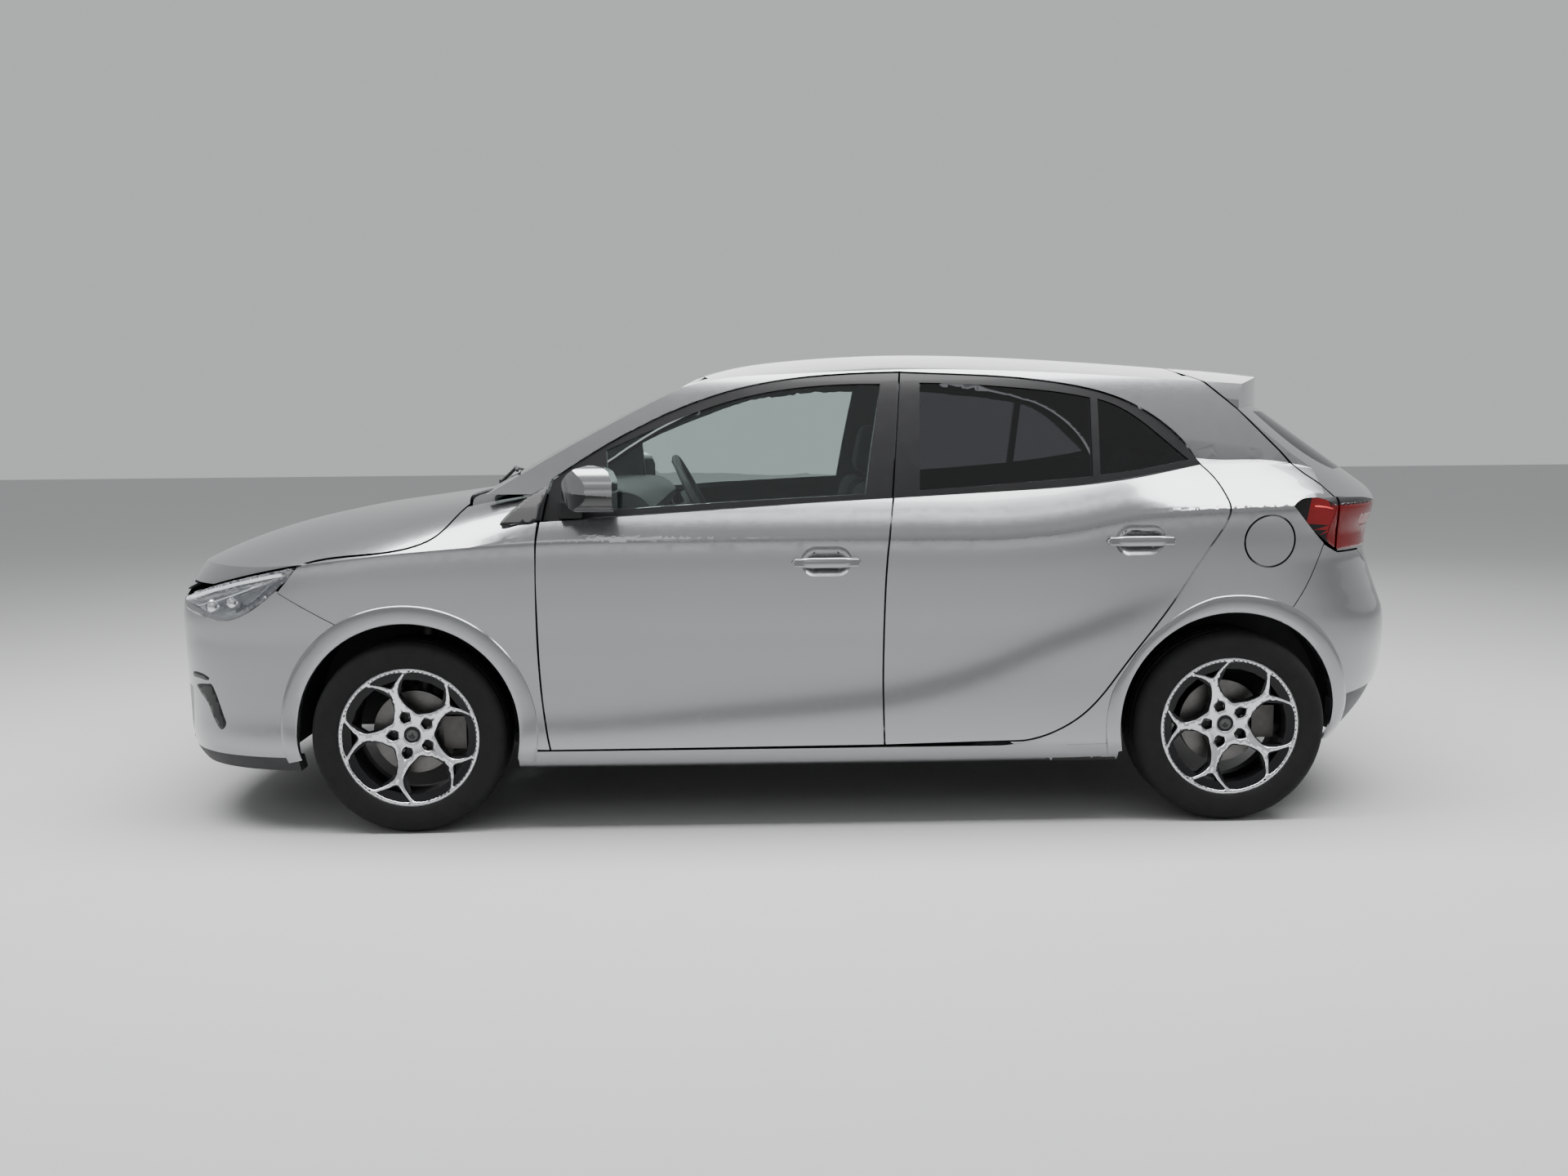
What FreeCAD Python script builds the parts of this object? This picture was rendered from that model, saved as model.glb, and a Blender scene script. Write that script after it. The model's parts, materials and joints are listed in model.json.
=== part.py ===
import FreeCAD, Part
import math
import os
import re
import Sketcher
from FreeCAD import Vector

# Five-door hatchback car, parked. +X points to the tail, +Y to the car's right, +Z up, in millimetres.
# The origin lies on the ground, midway along the length and on the centre plane.

doc = FreeCAD.newDocument("Hatchback")
sheet = doc.addObject("Spreadsheet::Sheet", "Sizes")
sheet.Label = "Sizes"

SIZES = [
    # Overall sizes
    ("wheelbase", 2570),
    ("overhang_front", 845),
    ("overhang_rear", 698),
    ("body_width", 1797),
    ("body_height", 1502),
    # Wheels and tyres
    ("track_front", 1516),
    ("track_rear", 1512),
    ("tyre_radius", 305),
    ("tyre_width", 192),
    ("frame_flange", 12),
    ("frame_inset", 18),
    ("rim_radius", 203),
    ("rim_lip_radius", 218),
    ("rim_width", 172),
    ("spoke_count", 5),
    ("disc_radius", 132),
    ("arch_radius_front", 346),
    ("arch_radius_rear", 350),
    ("arch_rise", 15),
    ("liner_gap", 34),
    # Clearances
    ("shut_gap", 6),
    ("seat_gap", 0.3),
    # Wall sizes
    ("skin_wall", 14),
    ("door_wall", 78),
    ("door_inset", 22),
    ("frame_wall", 34),
    ("frame_step", 5),
    ("glass_wall", 4),
    ("glass_step", 9),
    ("side_wall", 62),
    ("hood_wall", 16),
    ("roof_wall", 26),
    ("bumper_wall", 30),
    ("lamp_wall", 60),
    ("gate_wall", 46),
    ("turn_gap", 6),
    # Wheels inside
    ("hub_radius", 34),
    ("stub_radius", 40),
    # Seats and controls
    ("seat_width", 500),
    ("seat_length", 500),
    ("seat_cushion", 130),
    ("seat_back", 120),
    ("seat_rise", 600),
    ("seat_base", 190),
    ("bench_width", 1180),
    ("headrest_width", 250),
    ("steering_radius", 182),
    ("steering_tube", 15),
    # Under the floor
    ("engine_length", 560),
    ("engine_width", 700),
    ("engine_height", 560),
    ("tank_length", 420),
    ("tank_width", 415),
    ("tank_height", 138),
    ("pipe_radius", 25),
    ("muffler_radius", 55),
    ("rear_muffler_radius", 78),
    # Plates
    ("plate_width", 520),
    ("plate_height", 110),
    # Joint ranges used for shapes
    ("steer_lock", 33),
]

for row, (alias, value) in enumerate(SIZES, start=1):
    sheet.set("A%d" % row, alias)
    sheet.set("B%d" % row, str(value))
    sheet.setAlias("B%d" % row, alias)
doc.recompute()


def size(alias):
    """Value of one named size in the sheet."""
    return float(sheet.get(alias))


SHUT = size("shut_gap")
SEAT = size("seat_gap")

# The outlines and sections below are drawn on the reference car; these stretch them to the sheet's sizes.
REF_BASE = 2570.0
REF_FRONT = 845.0
REF_REAR = 698.0
REF_WIDTH = 1797.0
REF_HEIGHT = 1502.0
REF_NOSE = -(REF_BASE + REF_FRONT + REF_REAR) / 2
REF_AXLE_F = REF_NOSE + REF_FRONT
REF_AXLE_R = REF_AXLE_F + REF_BASE
REF_TAIL = REF_AXLE_R + REF_REAR

NOSE = -(size("wheelbase") + size("overhang_front") + size("overhang_rear")) / 2
AXLE_F = NOSE + size("overhang_front")
AXLE_R = AXLE_F + size("wheelbase")
TAIL = AXLE_R + size("overhang_rear")
HUB_Z = size("tyre_radius")
WIDE = size("body_width") / REF_WIDTH
TALL = size("body_height") / REF_HEIGHT


def fit_x(x):
    """Length coordinate of the reference car carried to the sheet's wheelbase and overhangs."""
    if x < REF_AXLE_F:
        return AXLE_F + (x - REF_AXLE_F) * size("overhang_front") / REF_FRONT
    if x > REF_AXLE_R:
        return AXLE_R + (x - REF_AXLE_R) * size("overhang_rear") / REF_REAR
    return AXLE_F + (x - REF_AXLE_F) * size("wheelbase") / REF_BASE


def at(x, y, z):
    """Point of the reference car carried to the sheet's sizes."""
    return Vector(fit_x(x), y * WIDE, z * TALL)


def curve(points):
    """Smooth monotone curve through the points, straight beyond its ends."""
    xs = [p[0] for p in points]
    ys = [p[1] for p in points]
    n = len(xs)
    rise = [(ys[i + 1] - ys[i]) / (xs[i + 1] - xs[i]) for i in range(n - 1)]
    slope = [rise[0]] + [0.0] * (n - 2) + [rise[-1]]
    for i in range(1, n - 1):
        if rise[i - 1] * rise[i] > 0:
            a = 2 * (xs[i + 1] - xs[i]) + (xs[i] - xs[i - 1])
            b = (xs[i + 1] - xs[i]) + 2 * (xs[i] - xs[i - 1])
            slope[i] = (a + b) / (a / rise[i - 1] + b / rise[i])

    def value(x):
        if x <= xs[0]:
            return ys[0] + slope[0] * (x - xs[0])
        if x >= xs[-1]:
            return ys[-1] + slope[-1] * (x - xs[-1])
        i = max(k for k in range(n - 1) if xs[k] <= x)
        h = xs[i + 1] - xs[i]
        t = (x - xs[i]) / h
        a = (1 + 2 * t) * (1 - t) ** 2
        b = t * (1 - t) ** 2
        c = t * t * (3 - 2 * t)
        d = t * t * (t - 1)
        return a * ys[i] + b * h * slope[i] + c * ys[i + 1] + d * h * slope[i + 1]

    return value


# Character lines of the body, as heights along the length
crease_z = curve([
    (-2056, 705), (-1950, 752), (-1781, 796), (-1610, 832), (-1520, 846), (-1179, 886),
    (-563, 914), (0, 914), (559, 911), (788, 925), (1077, 972), (1309, 984), (1600, 990), (2056, 985),
])
ridge_z = curve([
    (-2056, 322), (-800, 334), (-197, 372), (271, 416), (435, 452), (561, 492), (813, 591), (1014, 665),
    (1271, 742), (2056, 800),
])
belt_z = curve([
    (-904, 966), (-442, 992), (73, 1022), (481, 1041), (841, 1061), (987, 1077), (1133, 1099), (1280, 1123),
])

# Half width of the middle section against height, with the shoulder crease at its reference height
CREASE_REF = 915
side_section = curve([
    (150, 800), (200, 826), (240, 848), (275, 858), (340, 861), (480, 864), (600, 870), (720, 880),
    (820, 889), (880, 894), (915, 898.5), (940, 889), (1000, 850), (1060, 805), (1130, 745), (1200, 680),
])
BLEND_Z = 600
RIDGE_STEP = 9.0
RIDGE_SOFT = 20.0
PLAN_TAPER = 0.012
SHELF_FALL = 0.65

# Nose and tail on the centre plane, as length against height
nose_x = curve([
    (150, -1985), (240, -2040), (300, -2050), (420, -2052), (560, -2056.5), (650, -2054), (705, -2046),
    (760, -2022), (850, -1960), (1000, -1830), (1200, -1600),
])
tail_x = curve([
    (150, 1810), (240, 1895), (300, 1962), (380, 2022), (450, 2046), (560, 2056.5), (620, 2051),
    (700, 2018), (780, 1982), (840, 1962), (900, 1962), (960, 1984), (1010, 1990), (1080, 1962), (1200, 1860),
])
NOSE_POWER = 3.6
TAIL_POWER = 2.7


def ease(t):
    """Smooth step from 0 to 1."""
    t = min(1.0, max(0.0, t))
    return t * t * (3 - 2 * t)


def straight_half(x, z):
    """Half width before the nose and tail are rounded off."""
    top = crease_z(x)
    lift = top - CREASE_REF
    share = min(1.0, max(0.0, (z - BLEND_Z) / (top - BLEND_Z)))
    width = side_section(z - lift * share)
    width -= SHELF_FALL * ease((x - 1000) / 350) * max(0.0, z - top - 10)
    fade = 1 - ease((x - 950) / 350)
    width += RIDGE_STEP * fade / (1 + math.exp((z - ridge_z(x)) / RIDGE_SOFT))
    return width * (1 - PLAN_TAPER * ((x - 100) / 1300) ** 2)


def nose_share(x, z):
    return max(0.0, (REF_AXLE_F - x) / (REF_AXLE_F - nose_x(z)))


def tail_share(x, z):
    return max(0.0, (x - REF_AXLE_R) / (tail_x(z) - REF_AXLE_R))


def half_width(x, z):
    """Half width of the lower body at a length and height."""
    front = max(0.0, 1 - min(1.0, nose_share(x, z)) ** NOSE_POWER) ** (1 / NOSE_POWER)
    rear = max(0.0, 1 - min(1.0, tail_share(x, z)) ** TAIL_POWER) ** (1 / TAIL_POWER)
    return straight_half(x, z) * front * rear


def cabin_half(x, z):
    """Half width of the glasshouse."""
    rise = z - 980
    width = 812 - 0.36 * rise - 0.00013 * rise * rise - 1e-5 * max(0.0, z - 1330) ** 3
    taper = 0.02 if x < 250 else 0.045
    return width * (1 - taper * ((x - 250) / 1150) ** 2)


hood_line = curve([
    (-2056, 735), (-2030, 785), (-1950, 848), (-1837, 900), (-1725, 937), (-1598, 968), (-1474, 990),
    (-1282, 1014), (-1100, 1036), (-1000, 1046), (-700, 1060),
])
roof_line = curve([
    (-420, 1390), (-330, 1425), (-225, 1456), (-91, 1477), (42, 1489), (200, 1498), (377, 1502),
    (577, 1498), (823, 1486), (1071, 1469), (1236, 1456), (1426, 1441), (1660, 1415),
])
roof_crown = curve([(-420, 20), (-250, 34), (0, 50), (300, 56), (1250, 50)])
SCREEN_BASE = (-1040, 1054)
SCREEN_RISE = 0.512
SCREEN_BOW = 60
BACK_TOP = (1620, 1320)
BACK_FALL = 0.70
BACK_BOW = 155


hood_power = curve([(-2056, 3), (-1500, 3.3), (-1200, 5), (-1000, 8), (-800, 14), (-600, 20)])


def hood_z(x, y):
    side = straight_half(x, crease_z(x))
    return hood_line(x) - (hood_line(x) - crease_z(x)) * (abs(y) / side) ** hood_power(x)


def screen_z(x, y):
    along = x - SCREEN_BOW * (y / 650.0) ** 2 - SCREEN_BASE[0]
    t = min(1.0, max(0.0, along / 740.0))
    return SCREEN_BASE[1] + SCREEN_RISE * along + 52 * t * (1 - t)


def roof_z(x, y):
    return roof_line(x) - roof_crown(x) * (abs(y) / 560.0) ** 2.4


def back_z(x, y):
    along = x + BACK_BOW * (abs(y) / 550.0) ** 2.4 - BACK_TOP[0]
    return BACK_TOP[1] - BACK_FALL * along


def spread(a, b, n):
    """n values from a to b, ends included."""
    return [a + (b - a) * i / (n - 1) for i in range(n)]


def marks(rows):
    """Parameters for the points of a row, from the mean distance between them over all rows."""
    steps = [sum(row[i].distanceToPoint(row[i + 1]) for row in rows) / len(rows)
             for i in range(len(rows[0]) - 1)]
    total = sum(steps)
    return [sum(steps[:i]) / total for i in range(len(rows[0]))]


def through(points, parameters):
    spline = Part.BSplineCurve()
    spline.interpolate(Points=points, Parameters=parameters)
    return spline


def sheet_face(rows):
    """One smooth face through a grid of points."""
    along = marks([[row[j] for row in rows] for j in range(len(rows[0]))])
    across = marks(rows)
    strips = [through(row, across) for row in rows]
    count = strips[0].NbPoles
    lanes = [through([strip.getPole(k + 1) for strip in strips], along) for k in range(count)]
    poles = [[lane.getPole(i + 1) for lane in lanes] for i in range(lanes[0].NbPoles)]
    surface = Part.BSplineSurface()
    surface.buildFromPolesMultsKnots(
        poles, lanes[0].getMultiplicities(), strips[0].getMultiplicities(),
        lanes[0].getKnots(), strips[0].getKnots(), False, False, lanes[0].Degree, strips[0].Degree)
    return surface.toShape()


def side_rows(x, low, high):
    """Heights of one column of the side grid: even up to the crease, close together round it."""
    crease = crease_z(x)
    even = [low + (crease - 22 - low) * k / 19 for k in range(20)]
    return even + [crease - 5, crease + 12, crease + 42, crease + 84, crease + 135, high]


LOW_Z = 140
HIGH_Z = 1190


def lower_side(x0, x1, columns, inset=0.0):
    """Face of the car's left lower side, moved inward by the inset."""
    grid = []
    for x in spread(x0, x1, columns):
        grid.append([at(x, -half_width(x, z) + inset, z) for z in side_rows(x, LOW_Z, HIGH_Z)])
    return sheet_face(grid)


def cabin_side(inset=0.0):
    """Face of the left side of the glasshouse, moved inward by the inset."""
    grid = []
    for x in spread(-1150, 1900, 12):
        column = spread(850, 1330, 6) + [1370, 1410, 1450, 1490, 1530]
        grid.append([at(x, -cabin_half(x, z) + inset, z) for z in column])
    return sheet_face(grid)


def top_face(height, x0, x1, half, columns, drop=0.0, lanes=13):
    """Face over the plan from a height function, lowered by the drop."""
    grid = []
    for x in spread(x0, x1, columns):
        grid.append([at(x, y, height(x, y) - drop) for y in spread(-half, half, lanes)])
    return sheet_face(grid)


def slab(face, x=0, y=0, z=0):
    return face.extrude(Vector(x, y, z))


def wrap(x_cut, front, inset):
    """Solid nose or tail of the lower body, inset from the skin and cut off square at x_cut."""
    reach = nose_x if front else tail_x
    power = NOSE_POWER if front else TAIL_POWER
    axle = REF_AXLE_F if front else REF_AXLE_R
    sign = -1 if front else 1
    lanes = 14
    columns = []
    for x in spread(x_cut, axle, max(7, int(abs(axle - x_cut) / 100)))[:-1]:
        columns.append([(x, straight_half(x, z) - inset, z) for z in side_rows(x, LOW_Z, HIGH_Z)])
    for k in range(lanes + 1):
        angle = math.pi / 2 * k / lanes
        share = math.sin(angle) ** (2 / power)
        plan = math.cos(angle) ** (2 / power) if k < lanes else 0.0
        column = []
        for z in side_rows(axle + share * (reach(560) - axle), LOW_Z, HIGH_Z):
            length = (reach(z) - axle) * sign - inset
            x = axle + sign * share * length
            column.append((x, (straight_half(x, z) - inset) * plan, z))
        columns.append(column)
    left = [[at(x, -y, z) for x, y, z in column] for column in columns]
    right = [[at(x, y, z) for x, y, z in column] for column in columns[:-1]]
    face = sheet_face(left + right[::-1])
    bottom = [e for e in face.Edges if e.BoundBox.ZMax < LOW_Z * TALL + 1]
    top = [e for e in face.Edges if e.BoundBox.ZMin > HIGH_Z * TALL - 1]
    sides = [e for e in face.Edges if e.BoundBox.ZLength > 100]
    low_line = Part.makeLine(left[0][0], right[0][0])
    high_line = Part.makeLine(left[0][-1], right[0][-1])
    chains = [bottom + [low_line], top + [high_line], sides + [low_line, high_line]]
    caps = [Part.Face(Part.Wire(Part.__sortEdges__(chain))) for chain in chains]
    shell = Part.Shell([face] + caps)
    shell.sewShape()
    solid = Part.Solid(shell)
    if solid.Volume < 0:
        solid.reverse()
    return solid


# Outlines are lists of runs; each run is ("line", points) or ("curve", points) in side view.


def grow(runs, d):
    """Outline with each point moved outward by d along its normal."""
    points = []
    for kind, run in runs:
        points += run[:-1]
    n = len(points)
    area = sum(points[i - 1][0] * points[i][1] - points[i][0] * points[i - 1][1] for i in range(n))
    turn = 1 if area > 0 else -1

    def normal(a, b):
        dx, dz = b[0] - a[0], b[1] - a[1]
        length = math.hypot(dx, dz)
        return (turn * dz / length, -turn * dx / length)

    moved = []
    for i in range(n):
        n1 = normal(points[i - 1], points[i])
        n2 = normal(points[i], points[(i + 1) % n])
        dot = max(-0.6, n1[0] * n2[0] + n1[1] * n2[1])
        moved.append((points[i][0] + d * (n1[0] + n2[0]) / (1 + dot),
                      points[i][1] + d * (n1[1] + n2[1]) / (1 + dot)))
    out = []
    i = 0
    for kind, run in runs:
        count = len(run) - 1
        out.append((kind, [moved[(i + k) % n] for k in range(count + 1)]))
        i += count
    return out


def wire_of(runs, place):
    """Closed wire from the runs, each point put in space by place."""
    edges = []
    for kind, run in runs:
        points = [place(*p) for p in run]
        if kind == "curve" and len(points) > 2:
            spline = Part.BSplineCurve()
            spline.interpolate(points)
            edges.append(spline.toShape())
        else:
            for a, b in zip(points, points[1:]):
                if a.distanceToPoint(b) > 0.01:
                    edges.append(Part.makeLine(a, b))
    return Part.Wire(edges)


def side_prism(runs, y0=-1100, y1=-300):
    """Side-view outline carried across from y0 to y1."""
    wire = wire_of(runs, lambda x, z: at(x, 0, z) + Vector(0, y0, 0))
    return Part.Face(wire).extrude(Vector(0, y1 - y0, 0))


def plan_prism(runs, z0=0, z1=1700):
    """Plan outline carried up from z0 to z1."""
    wire = wire_of(runs, lambda x, y: at(x, y, 0) + Vector(0, 0, z0))
    return Part.Face(wire).extrude(Vector(0, 0, z1 - z0))


def end_prism(runs, x0, x1):
    """Front-view or rear-view outline carried along from x0 to x1."""
    wire = wire_of(runs, lambda y, z: Vector(x0, y * WIDE, z * TALL))
    return Part.Face(wire).extrude(Vector(x1 - x0, 0, 0))


def disc_y(x, z, radius, y0, y1):
    return Part.makeCylinder(radius, y1 - y0, Vector(x, y0, z), Vector(0, 1, 0))


def mirrored(shape):
    return shape.mirror(Vector(0, 0, 0), Vector(0, 1, 0))


def solids(shape, least=200.0):
    """Compound of the shape's solids, without slivers."""
    keep = [s for s in shape.Solids if s.Volume > least]
    return keep[0] if len(keep) == 1 else Part.makeCompound(keep)


def block(x0, x1, y0, y1, z0, z1):
    return Part.makeBox(x1 - x0, y1 - y0, z1 - z0, Vector(x0, y0, z0))


NODES = []


def publish(label, shape):
    """Add one sub-part to the document."""
    part = doc.addObject("Part::Feature", label)
    part.Label = label
    part.Shape = shape
    NODES.append(part)
    return part


# Side-view outlines of the panels, front to rear
DOOR_FRONT_EDGE = [(-771, 262), (-795, 450), (-801, 682), (-795, 900), (-757, 1098)]
DOOR_TOP_FRONT = [(-757, 1098), (-588, 1204), (-393, 1302), (-156, 1380), (120, 1417), (339, 1424)]
DOOR_SPLIT_TOP = [(339, 1424), (301, 1040)]
DOOR_SPLIT = [(301, 1040), (281, 918), (267, 680), (264, 415), (268, 266)]
DOOR_TOP_REAR = [(339, 1424), (578, 1413), (867, 1382), (1046, 1332), (1184, 1245), (1284, 1120)]
DOOR_REAR_EDGE = [
    (1284, 1120), (1322, 1050), (1325, 983), (1271, 882), (1153, 694), (1022, 518), (892, 359),
    (809, 306), (700, 274),
]
DOOR_BOTTOM_Z = 266

FRONT_DOOR = [
    ("curve", DOOR_FRONT_EDGE), ("curve", DOOR_TOP_FRONT), ("line", DOOR_SPLIT_TOP), ("curve", DOOR_SPLIT),
    ("line", [(268, 266), (-771, 262)]),
]
REAR_DOOR = [
    ("curve", DOOR_SPLIT[::-1]), ("line", DOOR_SPLIT_TOP[::-1]), ("curve", DOOR_TOP_REAR),
    ("curve", DOOR_REAR_EDGE),
    ("line", [(700, 274), (268, 266)]),
]
FRONT_GLASS = [
    ("line", [(-591, 1186), (-580, 1003)]),
    ("curve", [(-580, 1003), (-190, 1025), (216, 1043)]),
    ("line", [(216, 1043), (239, 1186), (276, 1387)]),
    ("curve", [(276, 1387), (80, 1383), (-156, 1349), (-393, 1271), (-591, 1186)]),
]
REAR_GLASS = [
    ("line", [(401, 1390), (386, 1053)]),
    ("curve", [(386, 1053), (627, 1068), (934, 1091)]),
    ("line", [(934, 1091), (945, 1338)]),
    ("curve", [(945, 1338), (867, 1353), (719, 1371), (573, 1383), (401, 1390)]),
]
QUARTER_GLASS = [
    ("line", [(968, 1334), (958, 1095)]),
    ("curve", [(958, 1095), (1100, 1112), (1245, 1140)]),
    ("curve", [(1245, 1140), (1165, 1211), (1070, 1288), (968, 1334)]),
]


def above_belt(d):
    """Region above the belt line, moved by d."""
    xs = [-1000, -700, -442, -180, 73, 300, 481, 661, 841, 987, 1133, 1280, 1420]
    return [("curve", [(x, belt_z(x) + d) for x in xs]), ("line", [(1420, belt_z(1420) + d), (1420, 1600),
            (-1000, 1600), (-1000, belt_z(-1000) + d)])]




def side_layer(face, start, end):
    """Layer of a left side face between two depths inward."""
    return slab(face.translated(Vector(0, start, 0)), y=end - start)


GREEN = cabin_side()
SKIN = size("skin_wall")
DOOR_WALL = size("door_wall")
FRAME = size("frame_wall")
STEP = size("frame_step")
FRAME_INSET = size("frame_inset")
INSET = size("door_inset")
FLANGE = size("frame_flange")
frame_flange = side_layer(GREEN, STEP, STEP + FLANGE)
frame_body = side_layer(GREEN, STEP + FLANGE - 1, STEP + FRAME)
glass_layer = side_layer(GREEN, size("glass_step"), size("glass_step") + size("glass_wall"))
below_belt = side_prism([("curve", above_belt(0)[0][1]), ("line", [
    (1420, belt_z(1420)), (1420, 100), (-1000, 100), (-1000, belt_z(-1000))])])
over_belt = side_prism(above_belt(0))
ARCH_F_X = fit_x(REF_AXLE_F)
ARCH_R_X = fit_x(REF_AXLE_R)
ARCH_Z = HUB_Z + size("arch_rise")
arch_front = disc_y(ARCH_F_X, ARCH_Z, size("arch_radius_front"), -1100, 1100)
arch_rear = disc_y(ARCH_R_X, ARCH_Z, size("arch_radius_rear"), -1100, 1100)


def handle(x, z, length):
    """Pull handle over its finger recess: the grip and the bowl cut behind it."""
    y = -half_width(x, z)
    grip = Part.makeBox(length, 13, 26, Vector(x - length / 2, y - 20, z - 13))
    grip = grip.makeFillet(5.5, grip.Edges)
    post_front = block(x - length / 2 + 4, x - length / 2 + 22, y - 14, y + 10, z - 9, z + 9)
    post_rear = block(x + length / 2 - 34, x + length / 2 - 4, y - 14, y + 10, z - 9, z + 9)
    reach = length / 2 - 68
    bowl = Part.makeCylinder(60, 2 * reach, Vector(x - reach, y - 38, z), Vector(1, 0, 0))
    bowl = bowl.fuse([Part.makeSphere(60, Vector(x - reach, y - 38, z)),
                      Part.makeSphere(60, Vector(x + reach, y - 38, z))])
    return grip, [post_front, post_rear], bowl


def door(outline, side, glasses, handle_x, handle_z, cutter=None):
    """Left door: skin, inset box, window frame with openings, pull handle."""
    skin_layer = side_layer(side, 0, SKIN)
    box_layer = side_layer(side, SKIN - 1, DOOR_WALL)
    edge = side_prism(grow(outline, -SHUT / 2))
    inner = side_prism(grow(outline, -INSET))
    if cutter:
        edge = edge.cut(cutter)
        inner = inner.cut(cutter)
    skin = skin_layer.common(edge).common(below_belt)
    box = box_layer.common(inner).common(below_belt)
    frame = frame_flange.common(edge).fuse(frame_body.common(side_prism(grow(outline, -FRAME_INSET))))
    frame = frame.common(over_belt)
    for glass in glasses:
        frame = frame.cut(side_prism(glass))
    grip, posts, bowl = handle(handle_x, handle_z, 200)
    panel = skin.fuse(box).fuse(frame)
    panel = panel.cut(bowl)
    for post in posts:
        panel = panel.fuse(post)
    return panel.fuse(grip)


door_fl = door(FRONT_DOOR, lower_side(-950, 420, 18), [FRONT_GLASS], 88, 843)
door_rl = door(REAR_DOOR, lower_side(100, 1500, 20), [REAR_GLASS, QUARTER_GLASS], 1052, 898,
               disc_y(ARCH_R_X, ARCH_Z, size("arch_radius_rear") + 12, -1100, -300))
glass_fl = glass_layer.common(side_prism(FRONT_GLASS))
glass_rl = Part.makeCompound([glass_layer.common(side_prism(REAR_GLASS)),
                              glass_layer.common(side_prism(QUARTER_GLASS))])


def main_solid(shape):
    """The largest solid of a shape."""
    return max(shape.Solids, key=lambda item: item.Volume)


def inside(shape, *regions):
    """What the shape shares with each region in turn; stops when nothing is left."""
    for region in regions:
        shape = shape.common(region)
        if shape.Volume < 1:
            raise ValueError("a panel lost its volume")
    return shape


# Solids of the whole body between which the panels lie
hood_face = top_face(hood_z, -2085, -640, 940, 18, lanes=25)
hood_under = slab(hood_face, z=-950)
nose_out = inside(wrap(-650, True, 0), hood_under)
tail_out = wrap(-950, False, 0)


def room(x0, x1):
    return block(x0, x1, -950, 950, 400, 1800)


roof_under = slab(top_face(roof_z, -420, 1700, 700, 18), z=-900).fuse([room(-1300, -410), room(1690, 2300)])
screen_under = slab(top_face(screen_z, -1150, 700, 900, 16), z=-1400).fuse(room(690, 2300))
back_under = slab(top_face(back_z, 600, 2100, 900, 16, lanes=21), z=-1400).fuse(room(-1300, 610))


NOSES = {0: nose_out}
TAILS = {0: tail_out}


def nose_solid(depth):
    """The nose at a depth below its skin."""
    if depth not in NOSES:
        NOSES[depth] = wrap(-640, True, depth).common(hood_under.translated(Vector(0, 0, -depth)))
    return NOSES[depth]


def tail_solid(depth):
    """The side and tail at a depth below the skin."""
    if depth not in TAILS:
        TAILS[depth] = wrap(-960, False, depth)
    return TAILS[depth]


def nose_panel(region, wall, start=0):
    """Wall of the nose within a region, between two depths."""
    return inside(nose_solid(start), region).cut(nose_solid(wall))


def tail_panel(region, wall, start=0):
    """Wall of the side and tail within a region, between two depths."""
    return inside(tail_solid(start), region).cut(tail_solid(wall))


LEFT = block(-2200, 2200, -1100, 0, 0, 1700)

# Body side: sill, pillars and rail round the doors, quarter
SIDE_WALL = size("side_wall")
front_hole = side_prism(grow(FRONT_DOOR, SHUT / 2))
rear_hole = side_prism(grow(REAR_DOOR, SHUT / 2))
SILL_Z = 202
MID_X = 1200
QUARTER_SEAM = [(1508, 646), (1568, 725), (1603, 792), (1639, 880)]
LAMP_R_UNDER = [(1639, 880), (1605, 912), (1560, 960), (1526, 999)]
LAMP_R_OVER = [(1526, 999), (1554, 1017), (1610, 1022), (1684, 1021)]
GATE_SIDE = [(1684, 1021), (1634, 1068), (1605, 1091)]
BODY_SIDE = [
    ("line", [(-890, SILL_Z), (1003, SILL_Z), (1003, 300), (1508, 646)]),
    ("curve", QUARTER_SEAM), ("curve", LAMP_R_UNDER), ("curve", LAMP_R_OVER), ("curve", GATE_SIDE),
    ("line", [(1605, 1091), (1417, 1296), (1321, 1380), (1268, 1421), (1268, 1600), (-1000, 1600),
              (-1000, 1054), (-800, 1054), (-830, 1040), (-904, 966), (-790, 975), (-795, 900)]),
    ("line", [(-795, 900), (-801, 682), (-795, 450), (-771, 266), (-890, 266), (-890, SILL_Z)]),
]
side_region = side_prism(BODY_SIDE)
side_region = side_region.cut(front_hole).cut(rear_hole).cut([arch_rear, arch_front])
lower = inside(tail_panel(side_region.cut(block(-1200, 0, -1100, 0, 968, 1700)), SIDE_WALL), back_under)
upper = inside(side_layer(GREEN, 0, SIDE_WALL), side_region.common(block(-1200, 2000, -1100, 0, 930, 1700)),
               screen_under, back_under, roof_under)
# Posts behind the doors: inner sill, hinge post, pillar between the doors
LINER_R = size("arch_radius_front") + size("liner_gap")
LINER_WALL = 6
POST_START = size("door_wall") + 22
POST_END = POST_START + 42
POST_TOP = size("frame_step") + size("frame_wall") + 7
inner_layer = side_layer(lower_side(-950, 1000, 20), SIDE_WALL - 1, POST_END)
post_layer = side_layer(lower_side(-950, 420, 18), POST_START, POST_END)
FLOOR_TOP = 235
sill_inner = inner_layer.common(block(fit_x(-850), fit_x(700), -1100, 0, FLOOR_TOP + SEAT, 262))
hinge_post = side_layer(lower_side(-950, -700, 6), size("bumper_wall") + 2 * SEAT, POST_END)
hinge_post = hinge_post.common(block(fit_x(-895), fit_x(-808), -1100, 0, FLOOR_TOP + SEAT, 990))
hinge_post = hinge_post.cut(disc_y(ARCH_F_X, ARCH_Z, LINER_R + LINER_WALL + SEAT, -1100, 0))
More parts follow.
